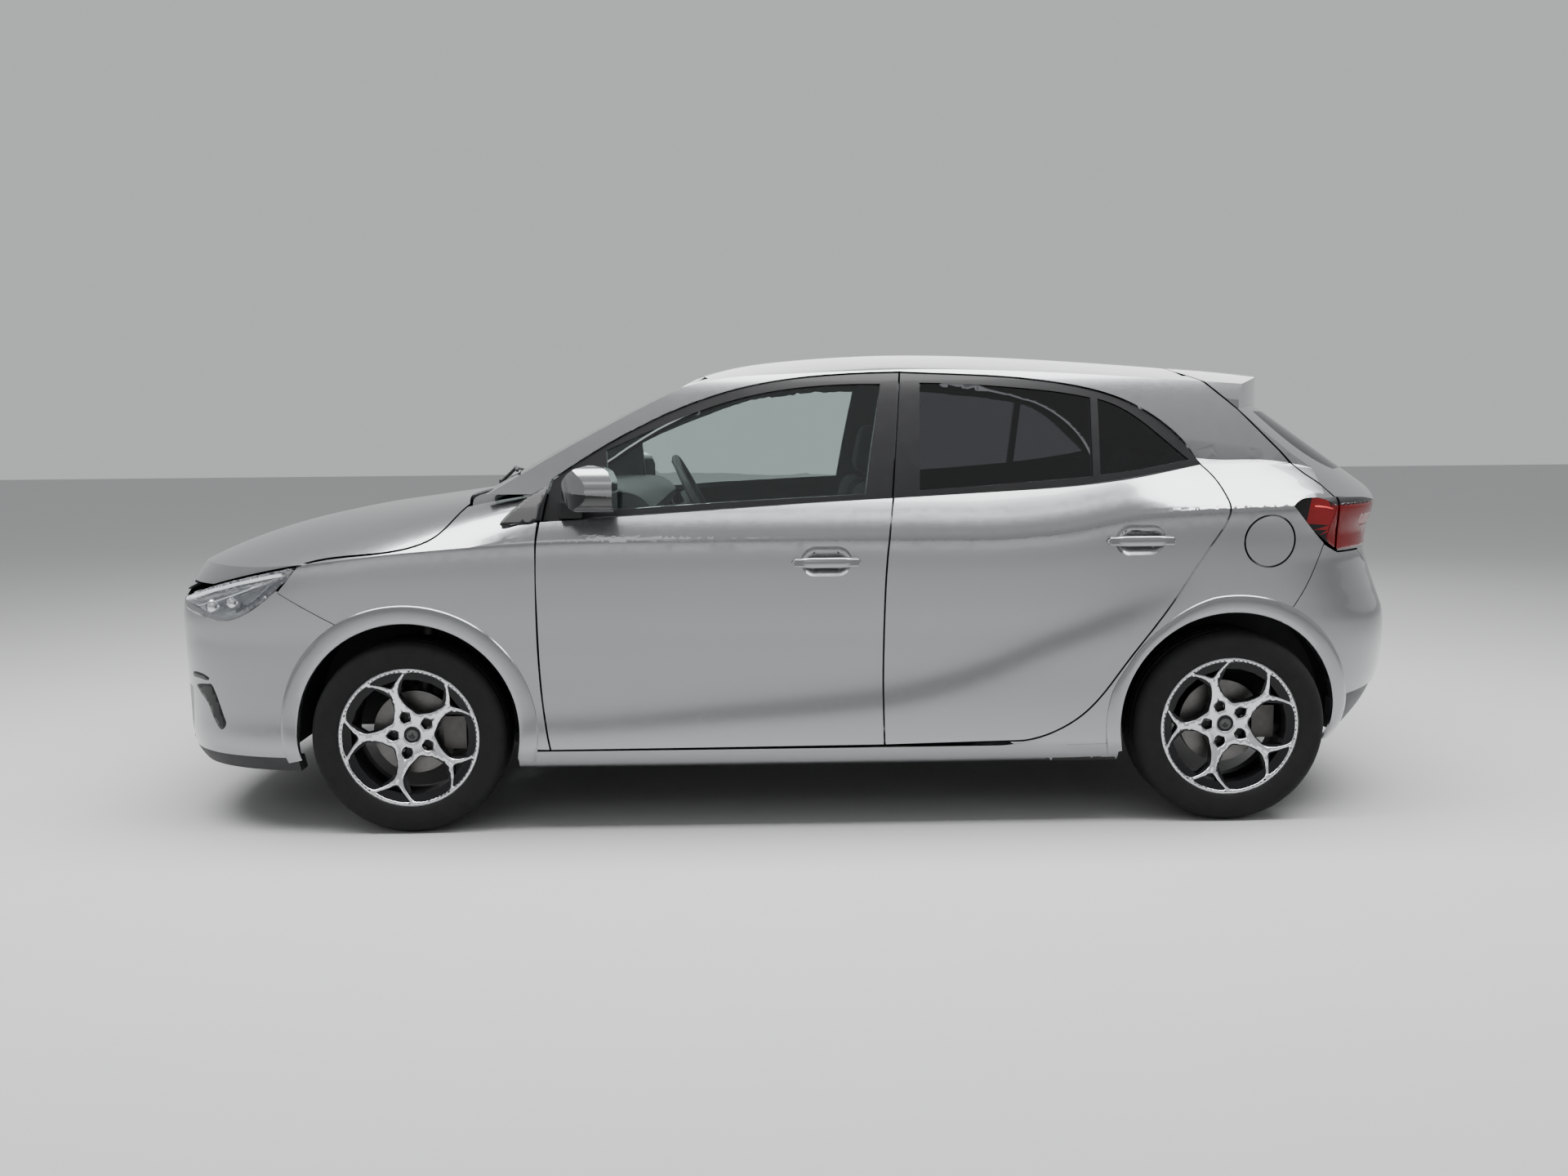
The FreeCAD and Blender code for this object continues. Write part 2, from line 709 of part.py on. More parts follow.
middle_post = post_layer.common(side_prism([("line", [(232, 240), (352, 240), (358, 1010), (240, 1010),
                                                      (232, 240)])]))
upper_post = side_layer(GREEN, POST_TOP, POST_TOP + 50).common(side_prism([
    ("line", [(240, 960), (345, 960), (372, 1445), (300, 1445), (240, 960)])])).common(roof_under)
HINGE_HEIGHTS = (400, 780)
leaves = []
for hinge_z in HINGE_HEIGHTS:
    y_skin = -half_width(-741, hinge_z) * WIDE
    leaf = block(fit_x(-815), fit_x(-740), y_skin + 42, y_skin + 66, hinge_z - 24, hinge_z + 24)
    leaves.append(leaf.cut(door_fl.translated(Vector(-SEAT, 0, 0))))
    y_skin = -half_width(330, hinge_z) * WIDE
    leaf = block(fit_x(372), fit_x(394), y_skin + 60, y_skin + POST_START + 8, hinge_z - 24, hinge_z + 24)
    strap = block(fit_x(340), fit_x(394), y_skin + POST_START - 8, y_skin + POST_START + 8, hinge_z - 24, hinge_z + 24)
    leaves.append(leaf.fuse(strap).cut(door_rl.translated(Vector(0, SEAT, 0))))
leaves = [main_solid(leaf) for leaf in leaves]
body_side = lower.fuse([upper, sill_inner, hinge_post, middle_post, upper_post] + leaves)

# Fuel flap: round lid in the left quarter
FLAP = (1455, 892)
FLAP_RADIUS = 80
flap_hole = disc_y(fit_x(FLAP[0]), FLAP[1] * TALL, FLAP_RADIUS + SHUT / 2, -1100, -700)
flap_disc = disc_y(fit_x(FLAP[0]), FLAP[1] * TALL, FLAP_RADIUS - SHUT / 2, -1100, -700)
fuel_flap = tail_panel(flap_disc, 8)
body_left = body_side.cut(flap_hole)
pocket = disc_y(fit_x(FLAP[0]), FLAP[1] * TALL, FLAP_RADIUS + 14, -830, -800)
filler = disc_y(fit_x(FLAP[0]), FLAP[1] * TALL, 34, -842, -815)
flap_arm = disc_y(fit_x(FLAP[0]) - FLAP_RADIUS + 18, FLAP[1] * TALL, 7, -900, -825)
flap_arm = main_solid(flap_arm.common(tail_out).cut(fuel_flap.translated(Vector(0, SEAT, 0))).common(
    block(1000, 2000, -886, -800, 0, 1700)))
body_left = body_left.fuse([inside(pocket, tail_out), filler, flap_arm])
body_right = mirrored(body_side)

# Roof, windscreen and rear glass between the pillars
core = slab(cabin_side(SIDE_WALL + SEAT), y=2400)
core = core.common(mirrored(core))
roof_shell = roof_under.cut(roof_under.translated(Vector(0, 0, -size("roof_wall"))))
screen_shell = screen_under.cut(screen_under.translated(Vector(0, 0, -6)))
SCREEN_TOP_X = -318
ROOF_REAR_X = 1262


def bowed(x, bow, half=1000):
    """Plan line across the car at x that runs back by the bow at 650 from the centre."""
    return [(x + bow * (y / 650.0) ** 2, y) for y in spread(-half, half, 9)]


def between(x0, bow0, x1, bow1, half=1000, z0=0, z1=1700):
    """Plan region between two bowed lines."""
    front = bowed(x0, bow0, half)
    rear = bowed(x1, bow1, half)[::-1]
    runs = [("curve", front), ("line", [front[-1], rear[0]]), ("curve", rear), ("line", [rear[-1], front[0]])]
    return plan_prism(runs, z0, z1)


roof_panel = inside(roof_shell, between(SCREEN_TOP_X, SCREEN_BOW, ROOF_REAR_X, 10), core)
windscreen = inside(screen_shell, between(-1020, SCREEN_BOW, SCREEN_TOP_X - 4, SCREEN_BOW), core,
                    roof_under)

# Hood, fenders, front bumper and lamps, all cut from shells of the nose
HOOD_FRONT_Z = 783
HOOD_LINE = [
    (-1520, 848), (-1375, 875), (-1234, 889), (-1161, 905), (-1104, 932), (-1069, 967), (-1044, 1000),
    (-1015, 1030),
]
LAMP_OVER = [(-1520, 846), (-1619, 829), (-1713, 808), (-1817, 781), (-1903, 752), (-1975, 728), (-2012, 714)]
LAMP_UNDER = [
    (-2012, 714), (-1975, 700), (-1903, 686), (-1854, 676), (-1806, 668), (-1741, 676), (-1673, 709),
    (-1589, 772), (-1520, 846),
]
HEADLAMP = [("curve", LAMP_OVER), ("curve", LAMP_UNDER)]
HOOD = [
    ("line", [(-2200, HOOD_FRONT_Z), (-1812, HOOD_FRONT_Z)]),
    ("curve", [(-1812, HOOD_FRONT_Z), (-1713, 809), (-1619, 830), (-1520, 848)]),
    ("curve", HOOD_LINE),
    ("line", [(-1015, 1030), (-700, 1030), (-700, 1400), (-2200, 1400), (-2200, HOOD_FRONT_Z)]),
]
HOOD_REAR_X = -1095
hood = nose_panel(side_prism(grow(HOOD, -SHUT / 2), -1100, 1100).common(
    between(-2300, 0, HOOD_REAR_X, SCREEN_BOW)), size("hood_wall"))
FENDER = [
    ("line", [(-1592, 767), (-1363, 635), (-1363, 400), (-900, 400), (-900, 266), (-771, 266)]),
    ("curve", DOOR_FRONT_EDGE[:4]),
    ("line", [(-795, 900), (-790, 975), (-904, 966), (-830, 1054), (-1000, 1054), (-1015, 1030)]),
    ("curve", HOOD_LINE[::-1]),
    ("curve", [(-1520, 848), (-1560, 803), (-1592, 767)]),
]
fender_region = side_prism(grow(FENDER, -SHUT / 2)).cut([arch_front, front_hole])
fender = nose_panel(fender_region, size("bumper_wall")).cut([core, body_side])
BUMPER_LOW_Z = 240
CHIN_Z = 196
BUMPER_F = [
    ("line", [(-2200, HOOD_FRONT_Z), (-2200, BUMPER_LOW_Z), (-1300, BUMPER_LOW_Z), (-1360, 640),
              (-1589, 772)]),
    ("curve", [(-1589, 772), (-1560, 803), (-1520, 848)]),
    ("curve", [(-1520, 848), (-1619, 830), (-1713, 809), (-1812, HOOD_FRONT_Z)]),
    ("line", [(-1812, HOOD_FRONT_Z), (-2200, HOOD_FRONT_Z)]),
]
BUMPER_REAR_EDGE = block(-1560, -1300, -1100, 1100, 0, ARCH_Z)
OVER_LAMP = [("line", [(x, z - 5) for x, z in LAMP_OVER] + [(-2012, 735), (-1812, 812), (-1520, 870), (-1520, 841)])]
lamp_cut = side_prism(grow(HEADLAMP, -2.4), -1100, 1100).fuse(side_prism(OVER_LAMP, -1100, 1100))
GRILLE = [("line", [(-500, 500), (-430, 268), (430, 268), (500, 500), (-500, 500)])]
VENT = [("line", [(-640, 440), (-560, 440), (-520, 262), (-610, 262), (-640, 440)])]
SLOT = [("line", [(-430, 722), (-430, 702), (430, 702), (430, 722), (-430, 722)])]
grille_hole = end_prism(GRILLE, -2200, -1700)
vent_hole = end_prism(VENT, -2200, -1600)
slot_hole = end_prism(SLOT, -2200, -1900)
bumper_region = side_prism(grow(BUMPER_F, -SHUT / 2), -1100, 1100)
bumper_region = bumper_region.cut([arch_front, lamp_cut, BUMPER_REAR_EDGE, grille_hole, vent_hole,
                                   mirrored(vent_hole), slot_hole])
bumper_front = main_solid(nose_panel(bumper_region, size("bumper_wall")))
LAMP_WALL = size("lamp_wall")
headlamp = nose_panel(side_prism(grow(HEADLAMP, -2.7)).cut(block(-2200, -1900, -430, 430, 0, 1000)), LAMP_WALL)
grille_in = end_prism(grow(GRILLE, -SEAT), -2200, -1700)
vent_in = end_prism(grow(VENT, -SEAT), -2200, -1600)
slot_in = end_prism(grow(SLOT, -SEAT), -2200, -1900)
grille = nose_panel(grille_in.fuse([vent_in, mirrored(vent_in), slot_in]), LAMP_WALL, 18)
chin = nose_panel(block(-2200, -1560, -1100, 1100, CHIN_Z, BUMPER_LOW_Z + 2.7), LAMP_WALL)
grille_front = Part.makeCompound([grille, chin])

# Tailgate, its lamps and glass, rear bumper
GATE_TOP_X = 1268
LAMP_R_SPLIT = 1690
gate_side = [("line", [(GATE_TOP_X, 1600), (GATE_TOP_X, 1421), (1321, 1380), (1417, 1296), (1605, 1091),
                       (1634, 1068), (1684, 1021), (LAMP_R_SPLIT, 1000), (LAMP_R_SPLIT, 600), (2200, 600),
                       (2200, 1600), (GATE_TOP_X, 1600)])]
GATE_REAR = [("line", [(-560, 645), (560, 645), (640, 800), (700, 850), (820, 850), (820, 1600),
                       (-820, 1600), (-820, 850), (-700, 850), (-640, 800), (-560, 645)])]
gate_wall = size("gate_wall")
gate_low = tail_panel(side_prism(grow(gate_side, -SHUT), -1100, 1100).common(
    end_prism(grow(GATE_REAR, -SHUT / 2), 1500, 2200)), gate_wall).common(back_under)
back_core = slab(cabin_side(0), y=2400)
back_core = back_core.common(mirrored(back_core))
gate_top = inside(back_under, side_prism(grow(gate_side, -SHUT), -1100, 1100), back_core,
                  block(1150, 2200, -1100, 1100, 1082, 1500), roof_under)
gate_top = gate_top.cut(inside(back_under.translated(Vector(0, 0, -gate_wall)),
                               roof_under.translated(Vector(0, 0, -gate_wall))))
BACK_GLASS = [("line", [(-560, 1100), (560, 1100)]), ("curve", [(560, 1100), (600, 1120), (560, 1290)]),
              ("line", [(560, 1290), (-560, 1290)]), ("curve", [(-560, 1290), (-600, 1120), (-560, 1100)])]
glass_hole = end_prism(BACK_GLASS, 1300, 2200)
glass_in = end_prism(grow(BACK_GLASS, -SEAT), 1300, 2200)
gate_glass = inside(back_under, glass_in).cut(back_under.translated(Vector(0, 0, -6)))
lamp_side = [("curve", LAMP_R_OVER), ("line", [(1684, 1021), (2100, 1005), (2100, 857), (1700, 857)]),
             ("curve", [(1700, 857), (1672, 870), (1639, 892), (1560, 963), (1526, 999)])]
LAMP_REAR = [("line", [(-830, 1030), (-470, 985), (-480, 935), (-620, 858), (-830, 840), (-830, 1030)])]
lamp_region = side_prism(grow(lamp_side, -SEAT)).common(end_prism(LAMP_REAR, 1500, 2200))
split_body = block(1000, LAMP_R_SPLIT - SHUT - 1, -1100, 0, 0, 1700)
split_gate = block(LAMP_R_SPLIT + SHUT / 2, 2300, -1100, 0, 0, 1700)
lamp_outer = tail_panel(lamp_region.common(split_body), gate_wall)
lamp_inner = tail_panel(lamp_region.common(split_gate), gate_wall)
lamp_grown = side_prism(grow(lamp_side, SEAT)).common(end_prism(grow(LAMP_REAR, SEAT), 1500, 2200))
tailgate = gate_low.fuse(gate_top).cut([lamp_grown, mirrored(lamp_grown), glass_hole])
tailgate = main_solid(tailgate)
REAR_LOW_Z = 430
BUMPER_R = [
    ("line", [(2200, 850), (1698, 850)]), ("curve", [(1698, 850), (1672, 862), (1639, 880)]),
    ("curve", QUARTER_SEAM[::-1]),
    ("line", [(1508, 646), (1450, 500), (1660, 380), (1700, REAR_LOW_Z - 50), (2200, REAR_LOW_Z), (2200, 850)]),
]
LOWER_R = [("line", [(1660, 378), (1700, REAR_LOW_Z - 52), (2200, REAR_LOW_Z - 2), (2200, 255), (1740, 255),
                     (1690, 285), (1660, 285), (1660, 378)])]
gate_hole = end_prism(grow(GATE_REAR, SHUT / 2), 1700, 2200)
bumper_rear = tail_panel(side_prism(grow(BUMPER_R, -SHUT / 2), -1100, 1100).cut([gate_hole, arch_rear]), 30)
bumper_rear_lower = tail_panel(side_prism(LOWER_R, -1100, 1100).cut(arch_rear), gate_wall, 8)

# Seats of the tailgate's hinges at the rear edge of the roof
roof_panel = roof_panel.cut([upper_post, mirrored(upper_post)])
roof_leaf = block(fit_x(1250), fit_x(1300), 380, 430, 1408, 1424).cut(tailgate.translated(Vector(-SEAT, 0, 0)))
roof_leaf = roof_leaf.common(block(fit_x(1240), fit_x(1280), 0, 600, 1300, 1500))
roof_panel = main_solid(roof_panel.fuse([roof_leaf, mirrored(roof_leaf)]))

# Spoiler over the top of the rear glass
SPOILER = [("line", [(1276, 1290), (1604, 1301), (1638, 1383)]),
           ("curve", [(1638, 1383), (1613, 1401), (1540, 1420), (1426, 1440), (1276, 1470)]),
           ("line", [(1276, 1470), (1276, 1290)])]
outer_core = slab(cabin_side(0), y=2400).common(mirrored(slab(cabin_side(0), y=2400)))
spoiler = inside(side_prism(SPOILER, -1100, 1100), outer_core, between(1276, 4, 1650, -230, 640), roof_under,
                 side_prism(grow(gate_side, -SHUT), -1100, 1100))
spoiler = spoiler.cut(back_under.translated(Vector(0, 0, SEAT)))
spoiler = main_solid(spoiler)


def number(text):
    """Value of an expression over the sheet."""
    value = sheet.evalExpression(text)
    return float(getattr(value, "Value", value))


def named(text):
    """Expression text with the sheet's name put before each alias."""
    return re.sub(r"[a-z]+(_[a-z]+)+|wheelbase", lambda word: "Sizes." + word.group(0), text)


def bind(item, **texts):
    """Bind properties of an object to expressions over the sheet."""
    for name, text in texts.items():
        item.setExpression(name, named(text))
    return item


def lay(item, x, y, z, axis=Vector(0, 1, 0), angle=0.0):
    item.Placement = FreeCAD.Placement(Vector(x, y, z), FreeCAD.Rotation(axis, angle))
    return item


def box(name, length, width, height):
    return bind(doc.addObject("Part::Box", name), Length=length, Width=width, Height=height)


def rod(name, radius, height):
    return bind(doc.addObject("Part::Cylinder", name), Radius=radius, Height=height)


def rounded(source, radius):
    """Fillet on every edge of an object."""
    doc.recompute()
    item = doc.addObject("Part::Fillet", source.Name + "_round")
    item.Base = source
    item.Edges = [(k + 1, radius, radius) for k in range(len(source.Shape.Edges))]
    return item


def fused(name, items):
    item = doc.addObject("Part::MultiFuse", name)
    item.Shapes = items
    return item


def cut_by(name, base, tool):
    item = doc.addObject("Part::Cut", name)
    item.Base = base
    item.Tool = tool
    return item


def gathered(name, items):
    item = doc.addObject("Part::Compound", name)
    item.Links = items
    return item


def flipped(name, source):
    """The object mirrored to the car's other side."""
    item = doc.addObject("Part::Mirroring", name)
    item.Source = source
    item.Normal = Vector(0, 1, 0)
    item.Base = Vector(0, 0, 0)
    return item


def node(item, label):
    item.Label = label
    NODES.append(item)
    return item


def profile(body, name, role, points):
    """Closed sketch on one of the body's planes; each corner is a pair of expressions over the sheet."""
    sketch = body.newObject("Sketcher::SketchObject", name)
    plane = [item for item in body.Origin.OriginFeatures if item.Role == role][0]
    sketch.AttachmentSupport = [(plane, "")]
    sketch.MapMode = "FlatFace"
    texts = [(named(a), named(b)) for a, b in points]
    corners = [Vector(number(a), number(b), 0) for a, b in texts]
    count = len(corners)
    for i in range(count):
        sketch.addGeometry(Part.LineSegment(corners[i], corners[(i + 1) % count]))
    for i in range(count):
        sketch.addConstraint(Sketcher.Constraint("Coincident", i, 2, (i + 1) % count, 1))
    for i in range(count):
        pairs = (("DistanceX", -2, corners[i].x, texts[i][0]), ("DistanceY", -1, corners[i].y, texts[i][1]))
        for kind, axis, value, text in pairs:
            if abs(value) < 1e-9:
                sketch.addConstraint(Sketcher.Constraint("PointOnObject", i, 1, axis))
                continue
            index = sketch.addConstraint(Sketcher.Constraint(kind, -1, 1, i, 1, value))
            sketch.setExpression("Constraints[%d]" % index, text)
    return sketch


def turned_body(name, points):
    """Body turned about its Y axis from a profile of radii and distances from the outer face."""
    body = doc.addObject("PartDesign::Body", name)
    sketch = profile(body, name + "_profile", "XY_Plane", points)
    turn = body.newObject("PartDesign::Revolution", name + "_turn")
    turn.Profile = sketch
    turn.ReferenceAxis = (sketch, ["V_Axis"])
    turn.Angle = 360
    return body


# The wheel rests turned by this angle from a window straight up
REST_TURN = 17


def polar(radius, degrees):
    turned = degrees + REST_TURN
    return ("%s * sin(%g)" % (radius, turned), "%s * cos(%g)" % (radius, turned))


# Wheel and tyre, drawn from their outer face inward
tyre_form = turned_body("tyre_form", [
    ("rim_lip_radius + seat_gap", "11"), ("tyre_radius - 26", "0"), ("tyre_radius", "tyre_width * 0.16"),
    ("tyre_radius", "tyre_width * 0.84"), ("tyre_radius - 26", "tyre_width"),
    ("rim_lip_radius + seat_gap", "tyre_width - 11"),
])
MID = "rim_width / 2"
wheel_form = turned_body("wheel_form", [
    ("0", MID + " - 44"), ("hub_radius", MID + " - 44"), ("rim_radius - 143", MID + " - 46"),
    ("rim_radius - 16", "10"), ("rim_lip_radius - 6", "0"), ("rim_lip_radius", "0"), ("rim_lip_radius", "8"),
    ("rim_radius", "8"), ("rim_radius - 8", MID + " - 20"), ("rim_radius - 8", MID + " + 30"),
    ("rim_radius", "rim_width - 8"), ("rim_lip_radius", "rim_width - 8"), ("rim_lip_radius", "rim_width"),
    ("rim_radius - 10", "rim_width"), ("rim_radius - 18", MID + " + 30"), ("rim_radius - 18", MID + " - 30"),
    ("rim_radius - 26", MID + " - 50"), ("70", MID + " - 14"), ("74", MID + " + 4"),
    ("disc_radius", MID + " + 4"), ("disc_radius", MID + " + 26"), ("70", MID + " + 26"),
    ("66", MID + " + 20"), ("0", MID + " + 20"),
])
doc.recompute()
FAR = "( rim_radius - 20 )"
HALF_TURN = 36
WINDOWS = {
    "wide": [polar("72", 0), polar("96", 24), polar("136", 30), polar(FAR, 21), polar(FAR, 7), polar(FAR, -7),
             polar(FAR, -21), polar("136", -30), polar("96", -24)],
    "narrow": [polar("164", HALF_TURN), polar(FAR, HALF_TURN + 9), polar(FAR, HALF_TURN - 9)],
    "lug": [polar("44", HALF_TURN - 14), polar("44", HALF_TURN + 14), polar("64", HALF_TURN + 14),
            polar("77", HALF_TURN), polar("64", HALF_TURN - 14)],
}
WINDOW_DEPTH = {"wide": MID, "narrow": MID, "lug": MID + " - 30"}
cuts = []
for name, corners in WINDOWS.items():
    sketch = profile(wheel_form, "window_" + name, "XZ_Plane", corners)
    before = wheel_form.Shape.Volume
    pocket = wheel_form.newObject("PartDesign::Pocket", "pocket_" + name)
    pocket.Profile = sketch
    bind(pocket, Length=WINDOW_DEPTH[name])
    doc.recompute()
    if pocket.Shape.Volume > before - 10:
        pocket.Reversed = True
        doc.recompute()
    cuts.append(pocket)
spokes = wheel_form.newObject("PartDesign::PolarPattern", "spokes")
spokes.Originals = cuts
spokes.Axis = ([item for item in wheel_form.Origin.OriginFeatures if item.Role == "Y_Axis"][0], [""])
spokes.Angle = 360
bind(spokes, Occurrences="spoke_count")
wheel_form.Tip = spokes
doc.recompute()
FRONT_Y = size("track_front") / 2
REAR_Y = size("track_rear") / 2
WHEEL_TOP = "-( wheelbase + overhang_front + overhang_rear ) / 2 + overhang_front"
for place, track, x_text in (("front", "track_front", WHEEL_TOP), ("rear", "track_rear", WHEEL_TOP + " + wheelbase")):
    for form, width, kind in ((wheel_form, "rim_width", "wheel"), (tyre_form, "tyre_width", "tyre")):
        left = gathered("%s_%s_l" % (kind, place), [form])
        left.setExpression("Placement.Base.x", named(x_text))
        left.setExpression("Placement.Base.y", named("-%s / 2 - %s / 2" % (track, width)))
        left.setExpression("Placement.Base.z", named("tyre_radius"))
        node(left, "%s_%s_left" % (kind, place))
        node(flipped("%s_%s_r" % (kind, place), left), "%s_%s_right" % (kind, place))

# Floor with tunnel, wheel houses, bulkhead and the frames that carry the bumpers and lamps
FLOOR_Z = 200
ENGINE_X = fit_x(-1620)
SUBFRAME_END = AXLE_F + 190
TUNNEL_Z = 335
REAR_LINER_R = size("arch_radius_rear") + 22
WALL_F = 466
WALL_R = 612
BED = [("line", [(-950, FLOOR_Z), (560, FLOOR_Z), (640, 352), (1150, 352), (1250, 420), (1960, 420), (1960, 450),
                 (1235, 450), (1140, 382), (620, 382), (545, FLOOR_TOP), (-950, FLOOR_TOP), (-950, FLOOR_Z)])]
within = tail_solid(SIDE_WALL + SEAT)
floor_pan = inside(side_prism(BED, -1100, 1100), within)
floor_pan = floor_pan.cut([block(-1000, fit_x(1300), y0, y1, 262, 700) for y0, y1 in ((-1100, -752), (752, 1100))])
front_houses = [disc_y(ARCH_F_X, ARCH_Z, LINER_R + LINER_WALL, y0, y1) for y0, y1 in ((-1100, -WALL_F + 8),
                                                                                    (WALL_F - 8, 1100))]
rear_houses = [disc_y(ARCH_R_X, ARCH_Z, REAR_LINER_R + LINER_WALL, y0, y1) for y0, y1 in ((-1100, -WALL_R + 6),
                                                                                        (WALL_R - 6, 1100))]
front_rooms = [disc_y(ARCH_F_X, ARCH_Z, LINER_R, y0, y1) for y0, y1 in ((-1100, -WALL_F), (WALL_F, 1100))]
rear_rooms = [disc_y(ARCH_R_X, ARCH_Z, REAR_LINER_R, y0, y1) for y0, y1 in ((-1100, -WALL_R), (WALL_R, 1100))]
nose_in = nose_solid(size("bumper_wall") + SEAT)
above = block(-3000, 3000, -1100, 1100, 268, 1700)
front_liners = [inside(house, above, nose_in) for house in front_houses]
rear_within = tail_solid(SIDE_WALL + SEAT).fuse(inside(tail_solid(30 + SEAT), block(1500, 2200, -1100, 1100, 0, 880)))
rear_liners = [inside(house, above, within) for house in rear_houses]
tunnel = block(fit_x(-950), fit_x(620), -125, 125, FLOOR_Z, TUNNEL_Z)
channel = block(fit_x(-1000), fit_x(690), -100, 100, 0, TUNNEL_Z - 25)
bulkhead = block(fit_x(-842), fit_x(-820), -724, 724, FLOOR_TOP - 5, 930)
frame_seats = [block(SUBFRAME_END + SEAT, fit_x(-930), y0, y1, 205, FLOOR_TOP) for y0, y1 in ((-300, -200), (200, 300))]
rails = [block(fit_x(-1900), fit_x(-830), y, y + 58, 420, 500) for y in (-WALL_F + 8, WALL_F - 66)]
front_bar = inside(nose_in, block(-2200, fit_x(-1880), -640, 640, 545, 600))
lamp_in = nose_solid(LAMP_WALL + SEAT)
support = inside(block(fit_x(-1900), fit_x(-1872), -640, 640, 206, 720), lamp_in)
hood_posts = [block(fit_x(-1080), fit_x(-1056), y0, y1, 660, 1030) for y0, y1 in ((-690, -640), (640, 690))]
hood_posts = [main_solid(post.cut(hood.translated(Vector(0, 0, -SEAT))).common(hood_under)) for post in hood_posts]
bars = [inside(lamp_in, region) for region in (
    block(-2200, fit_x(-1880), -640, 640, 372, 388), block(-2200, fit_x(-1880), -430, 430, 705, 719),
    block(-2200, fit_x(-1880), -600, 600, 206, 232), block(fit_x(-1900), fit_x(-1640), -900, -400, 692, 706),
    block(fit_x(-1900), fit_x(-1640), 400, 900, 692, 706), block(fit_x(-1640), fit_x(-1480), -900, -450, 692, 706),
    block(fit_x(-1640), fit_x(-1480), 450, 900, 692, 706))]
towers = []
bores = []
for side in (-1, 1):
    foot = Vector(fit_x(-1181), side * 577, 640)
    towers.append(Part.makeCylinder(94, 172, foot, Vector(0, 0, 1)))
    bores.append(Part.makeCylinder(86, 196, foot - Vector(0, 0, 30), Vector(0, 0, 1)))
back_panel = inside(block(fit_x(1905), fit_x(1930), -600, 600, 345, 640), tail_solid(gate_wall + SEAT))
back_bar = inside(tail_solid(30 + SEAT), block(fit_x(1900), 2200, -600, 600, 500, 560))
low_bar = inside(tail_solid(gate_wall + SEAT), block(fit_x(1780), 2200, -620, 620, 345, 360))
under = floor_pan.cut(front_rooms + rear_rooms)
under = under.fuse(front_liners + rear_liners + [tunnel, bulkhead, support, front_bar, back_panel, back_bar, low_bar]
                   + rails + bars + towers + hood_posts + frame_seats)
under = under.cut(front_rooms + rear_rooms + bores + [channel])
strut_clear = [block(fit_x(-1330), fit_x(-1090), y0, y1, 0, 400) for y0, y1 in ((-470, -440), (440, 470))]
axle_clear = [block(fit_x(1300), fit_x(1420), y0, y1, 0, 352) for y0, y1 in ((-622, -596), (596, 622))]
under = under.cut(strut_clear + axle_clear + [body_side, body_right])
underbody = main_solid(under)

# Cowl, wipers and inside mirror against the windscreen
cowl_region = between(HOOD_REAR_X + 3 + SHUT, SCREEN_BOW, -1016 - SEAT, SCREEN_BOW)
cowl_top = hood_under.translated(Vector(0, 0, -10))
cowl = inside(cowl_top, cowl_region, core).cut(hood_under.translated(Vector(0, 0, -26)))


def on_screen(x, y, lift):
    """Point over the windscreen; x is measured where its bowed line meets the centre plane."""
    x += SCREEN_BOW * (y / 650.0) ** 2
    point = at(x, y, screen_z(x, y))
    return point + Vector(-0.46 * lift, 0, 0.89 * lift)


def stick(a, b, radius):
    return Part.makeCylinder(radius, (b - a).Length, a, b - a)


def wiper(pivot_y, tip_y, tip_x):
    """Wiper arm and blade lying on the lower part of the windscreen."""
    pivot = on_screen(-1040, pivot_y, 12)
    middle = on_screen(tip_x, (pivot_y + tip_y) / 2, 18)
    end = on_screen(tip_x + 14, tip_y, 8.4)
    start = on_screen(tip_x - 4, pivot_y * 0.9 + tip_y * 0.1, 8.4)
    parts = [stick(pivot, middle, 6), stick(start, middle, 5), stick(middle, end, 5), Part.makeSphere(7.5, middle),
             Part.makeCylinder(11, 36, pivot - Vector(0, 0, 30), Vector(0, 0, 1))]
    return parts[0].fuse(parts[1:])


wipers = [wiper(600, 40, -950), wiper(-20, -540, -952)]
stem = stick(Vector(fit_x(-392), 0, 1420 * TALL), Vector(fit_x(-352), 0, 1330 * TALL), 8)
mirror_box = Part.makeBox(26, 230, 62, Vector(fit_x(-352), -115, 1296 * TALL))
mirror_box = mirror_box.makeFillet(10, mirror_box.Edges)
interior_mirror = mirror_box.fuse(stem).common(screen_under.translated(Vector(0, 0, -6 - 2 * SEAT)))

# Dashboard
DASH = [("line", [(-820 + SEAT, 500), (-820 + SEAT, 930 + SEAT), (-985, 930 + SEAT), (-985, 1006)]),
        ("curve", [(-985, 1006), (-900, 1030), (-760, 1048), (-600, 1056), (-500, 1042), (-455, 1000)]),
        ("line", [(-455, 1000), (-460, 930), (-500, 850), (-540, 700), (-600, 560), (-700, 500),
                  (-820 + SEAT, 500)])]
dash = side_prism(DASH, -700, 700)
dash_vent = [block(fit_x(-475), fit_x(-440), y - 62, y + 62, 935, 975) for y in (-600, -80, 80, 600)]
dash = dash.cut(dash_vent + [between(-1400, SCREEN_BOW, -1010, SCREEN_BOW, 1000, 950, 1700)])
column_dir = Vector(math.cos(math.radians(27)), 0, math.sin(math.radians(27)))
WHEEL_AT = Vector(fit_x(-352), 365 * WIDE, 968 * TALL)
shroud = Part.makeCylinder(48, 150, WHEEL_AT - column_dir * 240, column_dir)
dash = dash.fuse(shroud)
CONSOLE = [("line", [(-520, TUNNEL_Z + SEAT), (-480, 620), (-300, 590), (-150, 560), (270, 560),
                     (290, TUNNEL_Z + SEAT), (-520, TUNNEL_Z + SEAT)])]
console = side_prism(CONSOLE, -95, 95)
